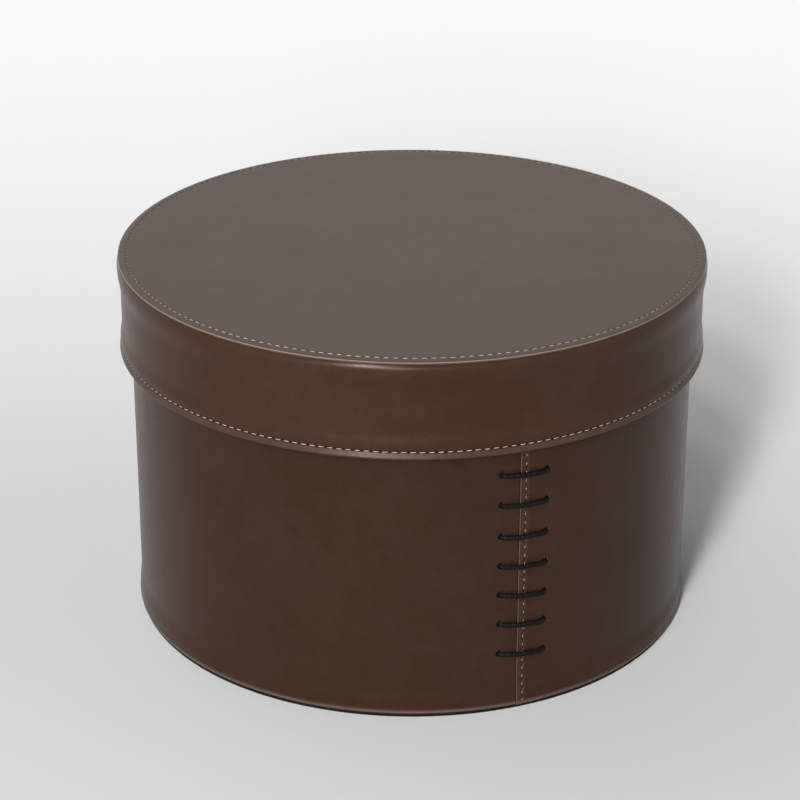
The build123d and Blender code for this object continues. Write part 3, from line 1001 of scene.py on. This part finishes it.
def single_stitch_group():
    """One stitch of thread along X: up out of a needle hole, flat on the leather and down into the next."""
    tree = bpy.data.node_groups.new("single_stitch", "GeometryNodeTree")
    for label, default in STITCH_SIZES:
        add_input(tree, label, "NodeSocketFloat", default)
    tree.interface.new_socket(name="Geometry", in_out="OUTPUT", socket_type="NodeSocketGeometry")
    given = tree.nodes.new("NodeGroupInput").outputs
    half = times(tree, given["Length"], 0.5)
    line = node(tree, "GeometryNodeCurvePrimitiveLine", {
        "Start": vector_of(tree, {0: times(tree, half, -1)}), "End": vector_of(tree, {0: half})}).outputs[0]
    line = node(tree, "GeometryNodeResampleCurve", {"Curve": line, "Count": 9}, mode="COUNT").outputs[0]
    along = node(tree, "GeometryNodeSplineParameter").outputs["Factor"]
    line = stored(tree, line, "thread_along", along)
    off_middle = maths(tree, "ABSOLUTE", maths(tree, "MULTIPLY_ADD", along, 2, -1))
    fall = times(tree, maths(tree, "POWER", off_middle, 3.4), given["Drop"])
    lift = vector_of(tree, {2: minus(tree, given["Rise"], fall)})
    line = node(tree, "GeometryNodeSetPosition", {"Geometry": line, "Offset": lift}).outputs[0]
    ring = node(tree, "GeometryNodeCurvePrimitiveCircle",
                {"Resolution": 7, "Radius": times(tree, given["Thread width"], 0.5)}).outputs[0]
    ring = stored(tree, ring, "thread_around", node(tree, "GeometryNodeSplineParameter").outputs["Factor"])
    thread = node(tree, "GeometryNodeCurveToMesh", {"Curve": line, "Profile Curve": ring, "Fill Caps": True}).outputs[0]
    thread = node(tree, "GeometryNodeTransform", {
        "Geometry": thread, "Rotation": vector_of(tree, {2: given["Lean"]}), "Scale": (1.0, 1.0, 0.8)}).outputs[0]
    thread = node(tree, "GeometryNodeSetShadeSmooth", {"Geometry": thread}).outputs[0]
    tree.links.new(thread, tree.nodes.new("NodeGroupOutput").inputs[0])
    return tree


def laid_stitches(tree, given, single, spots, rotation):
    """Puts a stitch on every spot, each a little different, as the tree's one mesh of thread."""
    stitch = node(tree, "GeometryNodeGroup", node_tree=single)
    fill(tree, stitch, {label: given[label] for label, _ in STITCH_SIZES})
    scale = vector_of(tree, {0: random_value(tree, 0.93, 1.05, 11), 1: 1.0, 2: 1.0})
    laid = node(tree, "GeometryNodeInstanceOnPoints", {"Points": spots, "Instance": stitch.outputs[0],
                                                       "Rotation": rotation, "Scale": scale}).outputs[0]
    swing = vector_of(tree, {2: random_value(tree, -0.05, 0.05, 23)})
    laid = node(tree, "GeometryNodeRotateInstances", {"Instances": laid, "Rotation": swing}).outputs[0]
    whole = node(tree, "GeometryNodeRealizeInstances", {"Geometry": laid}).outputs[0]
    whole = node(tree, "GeometryNodeSetMaterial", {"Geometry": whole, "Material": given["Thread"]}).outputs[0]
    tree.links.new(whole, tree.nodes.new("NodeGroupOutput").inputs[0])


def stitch_tree(name, *extra):
    """A modifier's tree with the inputs that every row of stitches has. Returns it and its input node's sockets."""
    tree = bpy.data.node_groups.new(name, "GeometryNodeTree")
    tree.is_modifier = True
    tree.interface.new_socket(name="Geometry", in_out="INPUT", socket_type="NodeSocketGeometry")
    for label, default in STITCH_SIZES:
        add_input(tree, label, "NodeSocketFloat", default)
    add_input(tree, "Count", "NodeSocketInt", 10)
    for label, default in extra:
        add_input(tree, label, "NodeSocketFloat", default)
    add_input(tree, "Thread", "NodeSocketMaterial")
    tree.interface.new_socket(name="Geometry", in_out="OUTPUT", socket_type="NodeSocketGeometry")
    return tree, tree.nodes.new("NodeGroupInput").outputs


def ring_of_stitches(single):
    """Stitches round a circle. Facing turns them from lying on top to lying on an upright side."""
    tree, given = stitch_tree("ring_of_stitches", ("Radius", 0.12), ("Height", 0.16), ("Facing", 0.0))
    spots = node(tree, "GeometryNodeMeshCircle", {"Vertices": given["Count"]}).outputs[0]
    index = node(tree, "GeometryNodeInputIndex").outputs[0]
    turn = times(tree, maths(tree, "DIVIDE", plus(tree, index, 0.5), given["Count"]), 2 * pi)
    stray = random_value(tree, -0.00004, 0.00004, 5)
    upright = maths(tree, "ABSOLUTE", maths(tree, "SINE", given["Facing"]))
    reach = maths(tree, "MULTIPLY_ADD", stray, minus(tree, 1, upright), given["Radius"])
    place = vector_of(tree, {
        0: times(tree, reach, maths(tree, "COSINE", turn)), 1: times(tree, reach, maths(tree, "SINE", turn)),
        2: maths(tree, "MULTIPLY_ADD", stray, upright, given["Height"])})
    spots = node(tree, "GeometryNodeSetPosition", {"Geometry": spots, "Position": place}).outputs[0]
    angles = vector_of(tree, {0: given["Facing"], 2: plus(tree, turn, pi / 2)})
    rotation = node(tree, "FunctionNodeEulerToRotation", {0: angles}).outputs[0]
    laid_stitches(tree, given, single, spots, rotation)
    return tree


def row_of_stitches(single):
    """Stitches along a line of edges on an upright wall, facing away from the box's axis."""
    tree, given = stitch_tree("row_of_stitches")
    line = node(tree, "GeometryNodeMeshToCurve", {"Mesh": given["Geometry"]}).outputs[0]
    line = node(tree, "GeometryNodeResampleCurve", {"Curve": line, "Count": given["Count"]}, mode="COUNT").outputs[0]
    spot = parts(tree, node(tree, "GeometryNodeInputPosition").outputs[0])
    outward = vector_of(tree, {0: spot["X"], 1: spot["Y"]})
    rotation = node(tree, "FunctionNodeAxesToRotation", {
        0: node(tree, "GeometryNodeInputTangent").outputs[0], 1: outward},
        primary_axis="X", secondary_axis="Z").outputs[0]
    laid_stitches(tree, given, single, line, rotation)
    return tree


def sewn(name, tree, sizes, line=()):
    """Runs a row's tree once and keeps the thread as a plain mesh. The line is a row of points to follow."""
    seed = bpy.data.meshes.new(name + "_line")
    seed.from_pydata(line or [(0, 0, 0)], [(k, k + 1) for k in range(len(line) - 1)], [])
    holder = placed(name + "_line", seed)
    modifier = holder.modifiers.new(tree.name, "NODES")
    modifier.node_group = tree
    for socket in tree.interface.items_tree:
        if socket.in_out == "INPUT" and socket.name in sizes:
            modifier[socket.identifier] = sizes[socket.name]
    graph = bpy.context.evaluated_depsgraph_get()
    graph.update()
    mesh = bpy.data.meshes.new_from_object(holder.evaluated_get(graph))
    bpy.data.objects.remove(holder)
    mesh.name = name
    if len(mesh.polygons) < 40:
        raise RuntimeError(f"{name} has no thread")
    return mesh


def joined(name, meshes):
    """One object from several meshes that share a material."""
    work = bmesh.new()
    for mesh in meshes:
        work.from_mesh(mesh)
    whole = meshes[0].copy()
    work.to_mesh(whole)
    work.free()
    whole.name = name
    return placed(name, whole)


def seam_line():
    """Points down the seam on the face of the leather, from the foot up."""
    low, high = SEAM_ROW
    out = []
    for height in filled([low, FLOOR_BOARD_TOP, FOOT_EASE_TOP, high], 1.0):
        share = min(1.0, max(0.0, (FOOT_EASE_TOP - height) / (FOOT_EASE_TOP - FLOOR_BOARD_TOP)))
        radius = BASE_RADIUS + (FOOT_RADIUS - BASE_RADIUS) * (1 - cos(pi * share)) / 2
        out.append(round_point(strip_face(0.0, height, radius), FRONT, height))
    return out


class COLLARBOX_OT_stitching(Operator):
    """Sews the row round the lid's top, the row round its hem and the row down the front seam"""
    bl_idname = "collar_box.stitching"
    bl_label = "Sew the rows"

    def execute(self, context):
        stitching = context.scene.collar_box_stitching
        single = single_stitch_group()
        ring, row = ring_of_stitches(single), row_of_stitches(single)
        thread = thread_finish("cream_thread", stitching.thread_colour, THREAD_SHADED)
        seam_thread = thread_finish("seam_thread", stitching.seam_thread_colour)
        common = {"Length": stitching.stitch_length, "Thread width": stitching.thread_width,
                  "Rise": STITCH_RISE, "Drop": STITCH_DROP, "Lean": STITCH_LEAN, "Thread": thread}
        top = sewn("top_row", ring, {
            **common, "Count": stitching.top_ring_count, "Radius": stitching.top_ring_radius,
            "Height": (BOX_TOP - 0.1) * MM, "Facing": 0.0})
        hem = {**common, "Count": stitching.hem_count, "Height": stitching.hem_height}
        outside = sewn("hem_row", ring, {**hem, "Radius": (HEM_RADIUS - 0.45) * MM, "Facing": pi / 2})
        inside = sewn("hem_row_inside", ring, {**hem, "Radius": (LID_LINING_INNER + 0.02) * MM, "Facing": -pi / 2,
                                               "Rise": 0.0})
        seam = sewn("seam_row", row, {
            **common, "Count": stitching.seam_count, "Length": SEAM_STITCH_LENGTH,
            "Drop": SEAM_STITCH_DROP, "Rise": 0.0, "Thread": seam_thread}, seam_line())
        dressed(joined("lid_stitching", (top, outside, inside)), "lid", "leather")
        dressed(joined("seam_stitching", (seam,)), "base", "leather")
        return {"FINISHED"}


def lace_route():
    """Corners of the lace in metres: out of a hole, across the lap, in at the next and up behind the leather."""
    behind = -sqrt(((2 * WALL_OUTER - WALL_OUTER_PLY) / 2) ** 2 - LACE_REACH ** 2)
    thick = bpy.context.scene.collar_box_lace.thickness / MM / 2

    def over(across, lift):
        face = sqrt(BASE_RADIUS ** 2 - across ** 2) + between(LAP_PROFILE, across + LAP_EDGE)
        return -(face + thick + lift)

    out = [(-LACE_REACH, behind, LACE_HEIGHTS[0][0] - LACE_TAIL)]
    for rung, ((left, right), (left_sag, right_sag)) in enumerate(zip(LACE_HEIGHTS, LACE_SAGS)):
        level = left + (right - left) * 0.5
        run = [
            (-LACE_REACH, behind, left), (-LACE_REACH, over(-LACE_REACH, -1.8), left - 0.15),
            (-8.7, over(-8.7, -0.55), left - 0.2 + left_sag * 0.2), (-5.8, over(-5.8, -0.02), left + 0.7 * left_sag),
            (-LAP_EDGE, over(-1.9, 0.12), level + left_sag * 0.4),
            (2.2, over(0.0, 0.22), level + right_sag * 0.4), (5.8, over(5.8, 0.0), right + right_sag),
            (8.7, over(8.7, -0.55), right - 0.2), (LACE_REACH, over(LACE_REACH, -1.8), right - 0.15),
            (LACE_REACH, behind, right),
        ]
        out += reversed(run) if rung % 2 else run
    end = out[-1]
    out.append((end[0], end[1], end[2] + LACE_TAIL))
    return [tuple(number * MM for number in point) for point in out]


def smooth_line(name, route):
    """Points along the smooth curve that a route's corners hold, evenly spaced."""
    curve = bpy.data.curves.new(name, "CURVE")
    curve.dimensions = "3D"
    spline = curve.splines.new("NURBS")
    spline.points.add(len(route) - 1)
    for point, place in zip(spline.points, route):
        point.co = (*place, 1)
    spline.order_u = 3
    spline.use_endpoint_u = True
    spline.resolution_u = 24
    holder = placed(name, curve)
    mesh = bpy.data.meshes.new_from_object(holder)
    spots = [vertex.co.copy() for vertex in mesh.vertices]
    bpy.data.objects.remove(holder)
    bpy.data.meshes.remove(mesh)
    lengths = [0.0]
    for here, after in zip(spots, spots[1:]):
        lengths.append(lengths[-1] + (after - here).length)
    count = int(lengths[-1] / (LACE_STEP * MM))
    out, k = [], 0
    for step in range(count + 1):
        want = lengths[-1] * step / count
        while k < len(spots) - 2 and lengths[k + 1] < want:
            k += 1
        span = lengths[k + 1] - lengths[k]
        out.append(spots[k].lerp(spots[k + 1], (want - lengths[k]) / span if span else 0))
    return out, lengths[-1]


class COLLARBOX_OT_seam_lace(Operator):
    """Laces the front seam with one length of black cord"""
    bl_idname = "collar_box.seam_lace"
    bl_label = "Lace the seam"

    def execute(self, context):
        line, length = smooth_line("seam_lace_line", lace_route())
        sides = LACE_SIDES
        thick = context.scene.collar_box_lace.thickness / 2
        points, along, around = [], [], []
        side_way = Vector((1, 0, 0))
        for k, here in enumerate(line):
            way = (line[min(k + 1, len(line) - 1)] - line[max(k - 1, 0)]).normalized()
            side_way = (side_way - way * side_way.dot(way)).normalized()
            up = way.cross(side_way)
            far = length * k / (len(line) - 1)
            for side in range(sides):
                turn = 2 * pi * side / sides
                swell = 1 + 0.035 * sin(far / 0.0011 * pi + 2 * turn) + 0.03 * noise.noise(here * 700)
                points.append(here + (side_way * cos(turn) + up * sin(turn)) * thick * swell)
                along.append(far)
                around.append((cos(turn), sin(turn), 0.0))
        faces = list(grid_faces(len(line), sides, False, True))
        faces.append(list(range(sides)))
        faces.append([len(points) - sides + side for side in range(sides)])
        cord = closed_piece("laced_cord", points, faces, lace_finish(), {"cord_along": along}, crease=60)
        ways = cord.data.attributes.new("cord_around", "FLOAT_VECTOR", "POINT")
        ways.data.foreach_set("vector", [number for way in around for number in way])
        dressed(cord, "base", "lace", "seam_lace")
        return {"FINISHED"}


def cloth_tube(name, outer, inner, bottom, top, finish):
    """A tube of cloth glued to the inside of a wall, lapped over itself at the back."""
    steps = 180
    thick = 0.1
    edge = 0.15
    lap = ((-0.6, 0.0), (-0.15, 0.0), (-0.02, 0.12), (0.2, 0.15), (9.0, 0.0))
    marks = sorted({*(-pi + 2 * pi * k / steps for k in range(steps)), *(past / inner for past, _ in lap)})
    heights = filled([bottom + edge, top - edge], 6.0)
    outline = [(outer, top), (inner + thick, top), *((inner, height) for height in reversed(heights)),
               (inner + thick, bottom), (outer, bottom)]
    points, uv = [], []
    for row, (radius, height) in enumerate(outline):
        for mark in marks:
            turn = mark + BACK
            shown = radius
            if 0 < row < len(outline) - 1:
                ripple = 0.5 * abs(uneven(radius, turn, height))
                shown -= between(lap, mark * inner) - ripple
            points.append(round_point(shown, turn, height))
            uv.append((mark * inner * MM, height * MM))
    faces = list(grid_faces(len(outline), len(marks), True, True))
    return closed_piece(name, points, faces, finish, uv=uv)


def cloth_disc(name, radius, shown_height, hidden_height, finish):
    """A disc of cloth over a card, with its edge turned softly over from the face that shows."""
    steps = 192
    soft = 0.3
    start, sunk = (90, -soft) if shown_height > hidden_height else (-90, soft)
    rows = [
        *((reach, shown_height) for reach in (2.0, 20.0, 45.0, 70.0, 90.0, 104.0, 110.0)),
        *rounded((radius - soft, shown_height + sunk), soft, start, 0, 4),
        *((reach, hidden_height) for reach in (radius, 60.0, 2.0)),
    ]
    points, uv = [], []
    for reach, height in rows:
        for k in range(steps):
            turn = 2 * pi * k / steps
            points.append(round_point(reach, turn, height))
            uv.append((reach * cos(turn) * MM, reach * sin(turn) * MM))
    faces = list(grid_faces(len(rows), steps, False, True))
    for first, height in ((0, shown_height), ((len(rows) - 1) * steps, hidden_height)):
        close_ring(points, faces, range(first, first + steps), height)
        uv.append((0.0, 0.0))
    return closed_piece(name, points, faces, finish, uv=uv)


class COLLARBOX_OT_linings(Operator):
    """Lines the base and the lid with cotton"""
    bl_idname = "collar_box.linings"
    bl_label = "Line the inside"

    def execute(self, context):
        finish = cloth_finish()
        wall = cloth_tube("base_side_lining", WALL_INNER, WALL_INNER - CLOTH, FLOOR_BOARD_TOP, WALL_LINING_TOP, finish)
        dressed(wall, "base", "lining", "wall_lining")
        floor = cloth_disc("base_floor_lining", FLOOR_CLOTH_RADIUS, FLOOR_CLOTH_TOP, FLOOR_CLOTH_BOTTOM, finish)
        dressed(floor, "base", "lining", "floor_lining")
        side = cloth_tube("lid_side_lining", BAND_INNER, LID_LINING_INNER, LID_LINING_BOTTOM, LID_BOARD_BOTTOM, finish)
        dressed(side, "lid", "lining", "lid_band_lining")
        roof = cloth_disc("lid_roof_lining", LID_CLOTH_RADIUS, LID_CLOTH_BOTTOM, LID_CLOTH_TOP, finish)
        dressed(roof, "lid", "lining", "lid_card_lining")
        return {"FINISHED"}


class COLLARBOX_OT_foot_felt(Operator):
    """Cuts the black felt pad under the box"""
    bl_idname = "collar_box.foot_felt"
    bl_label = "Cut the foot pad"

    def execute(self, context):
        steps = 360
        soft = 0.2
        fuzz = 0.12
        rim = FOOT_RADIUS - PAD_INSET - soft
        rows = [
            (4.0, PAD_TOP), (60.0, PAD_TOP), *rounded((rim, PAD_TOP - soft), soft, 90, 0, 3),
            *rounded((rim, soft), soft, 0, -90, 3), (60.0, 0.0), (4.0, 0.0),
        ]
        points = []
        for reach, height in rows:
            for k in range(steps):
                turn = 2 * pi * k / steps
                fray = fuzz * noise.noise(Vector((cos(turn) * 40, sin(turn) * 40, height))) if reach > 100 else 0
                points.append(round_point(reach + min(0, fray), turn, height))
        faces = list(grid_faces(len(rows), steps, False, True))
        for first, height in ((0, PAD_TOP), ((len(rows) - 1) * steps, 0.0)):
            close_ring(points, faces, range(first, first + steps), height)
        dressed(closed_piece("felt_foot", points, faces, felt_finish()), "base", "foot_felt", "foot_pad")
        return {"FINISHED"}


class COLLARBOX_OT_boards(Operator):
    """Gives the boards and cards their finish"""
    bl_idname = "collar_box.boards"
    bl_label = "Finish the boards"

    def execute(self, context):
        inside = context.scene.collar_box_inside
        board = board_finish("grey_board", inside.board_colour)
        card = board_finish("plain_card", inside.card_colour)
        finishes = {
            "floor_board": board, "wall_inner_board": board, "wall_outer_board": board, "lid_board": board,
            "lid_band_board": board, "underside_filler": card, "floor_card": card, "lid_filler": card,
            "lid_card": card,
        }
        for name, finish in finishes.items():
            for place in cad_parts[name].material_slots:
                place.material = finish
        return {"FINISHED"}


def away(azimuth, height):
    """A unit vector towards that azimuth from the seam's front, and that height above the horizon."""
    return Vector((sin(azimuth) * cos(height), -cos(azimuth) * cos(height), sin(height)))


def sun(name, azimuth, height, width, strength):
    """A far soft white lamp."""
    lamp = bpy.data.lights.new(name, "SUN")
    lamp.angle, lamp.energy = width, strength
    holder = placed(name, lamp)
    holder.rotation_mode = "QUATERNION"
    holder.rotation_quaternion = away(azimuth, height).to_track_quat("Z", "Y")
    holder.location = away(azimuth, height) * 3


# Tall leaning strip light, as lamps one above another: height above the horizon, turn towards the camera and
# width in degrees, and strength
STRIP_LIGHT = (
    (60, -2, 7, 0.32), (48, -2, 6, 0.53), (36, 0, 6, 0.82), (27, 0, 8, 1.35), (19, 2, 9, 0.8), (14, 14, 9, 0.66),
)

# Pale panels round the studio: degrees to the left of straight behind, where each one's side fades out and is
# full, its upper edge and its strength
PANELS = (
    (26, 0.5, 0.92, 0.7, 1.2), (62, 0.4, 0.9, 0.28, 2.0), (-110, 0.5, 0.95, 0.3, 0.55), (150, 0.9, 0.99, 0.7, 1.3),
)
PANEL_FADE = 0.15
ROOM_LEVEL = 0.13
BACKGROUND_LEVEL = 0.93

# The floor's grey from front to back, a painted gradient of light: darkest under the box, lightest far behind, and
# lighter again in front of the box to offset the box's shade on the floor there. Metres behind the box's middle, and
# share of the way from near to far
FLOOR_HALF = 6.0
FLOOR_STOPS = (
    (-0.3, 0.26), (-0.19, 0.24), (-0.13, 0.13), (-0.06, 0.015), (0.0, 0.0), (0.1, 0.07), (0.19, 0.235),
    (0.33, 0.52), (0.49, 0.7), (0.7, 0.89), (1.0, 1.0),
)


# Camera: focal length and sensor width in millimetres, and the picture's shift
FOCAL_LENGTH, SENSOR_WIDTH = 117.0, 36.0
LENS_SHIFT = (-0.0144, 0.0193)


class COLLARBOX_OT_studio(Operator):
    """Sets the floor, the lights and the camera"""
    bl_idname = "collar_box.studio"
    bl_label = "Set the studio"

    def execute(self, context):
        studio = context.scene.collar_box_studio
        self.lay_floor(studio)
        for number, (height, turned, width, strength) in enumerate(STRIP_LIGHT, 1):
            sun(f"strip_light_{number}", studio.key_azimuth + radians(turned), radians(height), radians(width),
                strength)
        self.light_room(context, studio)
        self.place_camera(context, studio)
        context.scene.view_settings.view_transform = "Standard"
        return {"FINISHED"}

    def lay_floor(self, studio):
        mesh = bpy.data.meshes.new("studio_floor")
        corners = ((-1, -1), (1, -1), (1, 1), (-1, 1))
        mesh.from_pydata([(x * FLOOR_HALF, y * FLOOR_HALF, 0) for x, y in corners], [], [(0, 1, 2, 3)])
        material, tree, shader, place = new_finish("studio_floor_paper")
        back = vector_maths(tree, "DOT_PRODUCT", place, -away(studio.camera_azimuth, 0))["Value"]
        front = -FLOOR_STOPS[0][0]
        depth = FLOOR_STOPS[-1][0] + front
        ramp = node(tree, "ShaderNodeValToRGB", {0: maths(tree, "DIVIDE", plus(tree, back, front), depth)})
        grey = ramp.color_ramp
        grey.interpolation = "B_SPLINE"
        while len(grey.elements) < len(FLOOR_STOPS):
            grey.elements.new(0.5)
        for element, (spot, share) in zip(grey.elements, FLOOR_STOPS):
            element.position = (spot + front) / depth
            value = studio.near_floor + (studio.far_floor - studio.near_floor) * share
            element.color = (value, value, value, 1)
        fill(tree, shader, {"Base Color": ramp.outputs[0], "Roughness": 1.0, "Specular IOR Level": 0.0})
        mesh.materials.append(material)
        floor = placed("studio_floor", mesh)
        floor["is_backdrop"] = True

    def light_room(self, context, studio):
        world = bpy.data.worlds.new("studio_world")
        context.scene.world = world
        world.use_nodes = True
        tree = world.node_tree
        tree.nodes.clear()
        split = parts(tree, tree.nodes.new("ShaderNodeTexCoord").outputs["Generated"])
        flat = vector_maths(tree, "NORMALIZE", vector_of(tree, {0: split["X"], 1: split["Y"]}))[0]
        level = ROOM_LEVEL
        for turn, edge, full, top, strength in PANELS:
            middle = -away(studio.camera_azimuth + radians(turn), 0)
            towards = vector_maths(tree, "DOT_PRODUCT", flat, middle)["Value"]
            panel = times(tree, smooth_step(tree, towards, edge, full),
                          smooth_step(tree, split["Z"], top + PANEL_FADE, top - PANEL_FADE))
            level = maths(tree, "MULTIPLY_ADD", panel, strength, level)
        rays = node(tree, "ShaderNodeLightPath").outputs
        seen = maths(tree, "MAXIMUM", rays["Is Camera Ray"], rays["Is Glossy Ray"])
        seen = maths(tree, "MAXIMUM", seen, rays["Is Transmission Ray"])
        strength = node(tree, "ShaderNodeMix", {0: seen, 2: level, 3: BACKGROUND_LEVEL}).outputs[0]
        shine = node(tree, "ShaderNodeBackground", {"Color": (1, 1, 1, 1), "Strength": strength}).outputs[0]
        out = tree.nodes.new("ShaderNodeOutputWorld")
        tree.links.new(shine, out.inputs["Surface"])

    def place_camera(self, context, studio):
        lens = bpy.data.cameras.new("photo_camera")
        lens.lens, lens.sensor_width = FOCAL_LENGTH, SENSOR_WIDTH
        lens.shift_x, lens.shift_y = LENS_SHIFT
        lens.clip_start, lens.clip_end = 0.05, 50
        camera = placed("photo_camera", lens)
        back = away(studio.camera_azimuth, studio.camera_height)
        camera.location = Vector((0, 0, BOX_TOP * MM / 2)) + back * studio.camera_distance
        camera.rotation_mode = "QUATERNION"
        level = (-back).to_track_quat("-Z", "Y")
        camera.rotation_quaternion = level @ Quaternion((0, 0, 1), studio.camera_roll)
        context.scene.camera = camera


class COLLARBOX_PT_panel(Panel):
    """The collar box's steps, in order"""
    bl_idname = "COLLARBOX_PT_panel"
    bl_label = "Collar Box"
    bl_space_type = "VIEW_3D"
    bl_region_type = "UI"
    bl_category = "Collar Box"

    def draw(self, context):
        for step in STEPS:
            self.layout.operator(step.bl_idname)
        for group in GROUPS:
            box = self.layout.box()
            box.label(text=GROUPS[group].__doc__)
            for label in GROUPS[group].__annotations__:
                box.prop(getattr(context.scene, group), label)


GROUPS = {
    "collar_box_leather": CollarBoxLeather,
    "collar_box_stitching": CollarBoxStitching,
    "collar_box_lace": CollarBoxLace,
    "collar_box_inside": CollarBoxInside,
    "collar_box_studio": CollarBoxStudio,
}
STEPS = (
    COLLARBOX_OT_boards, COLLARBOX_OT_foot_felt, COLLARBOX_OT_base_leather, COLLARBOX_OT_lid_leather,
    COLLARBOX_OT_stitching, COLLARBOX_OT_seam_lace, COLLARBOX_OT_linings, COLLARBOX_OT_studio,
)


def register():
    for group in (*GROUPS.values(), *STEPS, COLLARBOX_PT_panel):
        bpy.utils.register_class(group)
    for name, group in GROUPS.items():
        setattr(bpy.types.Scene, name, PointerProperty(type=group))


def unregister():
    for name in GROUPS:
        delattr(bpy.types.Scene, name)
    for group in (COLLARBOX_PT_panel, *reversed(STEPS), *GROUPS.values()):
        bpy.utils.unregister_class(group)


def main():
    register()
    bpy.ops.collar_box.boards()
    bpy.ops.collar_box.foot_felt()
    bpy.ops.collar_box.base_leather()
    bpy.ops.collar_box.lid_leather()
    bpy.ops.collar_box.stitching()
    bpy.ops.collar_box.seam_lace()
    bpy.ops.collar_box.linings()
    bpy.ops.collar_box.studio()
    boxes = {"cad": cad_box, "visual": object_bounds()}
    {name: [list(corner) for corner in box] for name, box in boxes.items()}


if __name__ == "__main__":
    main()
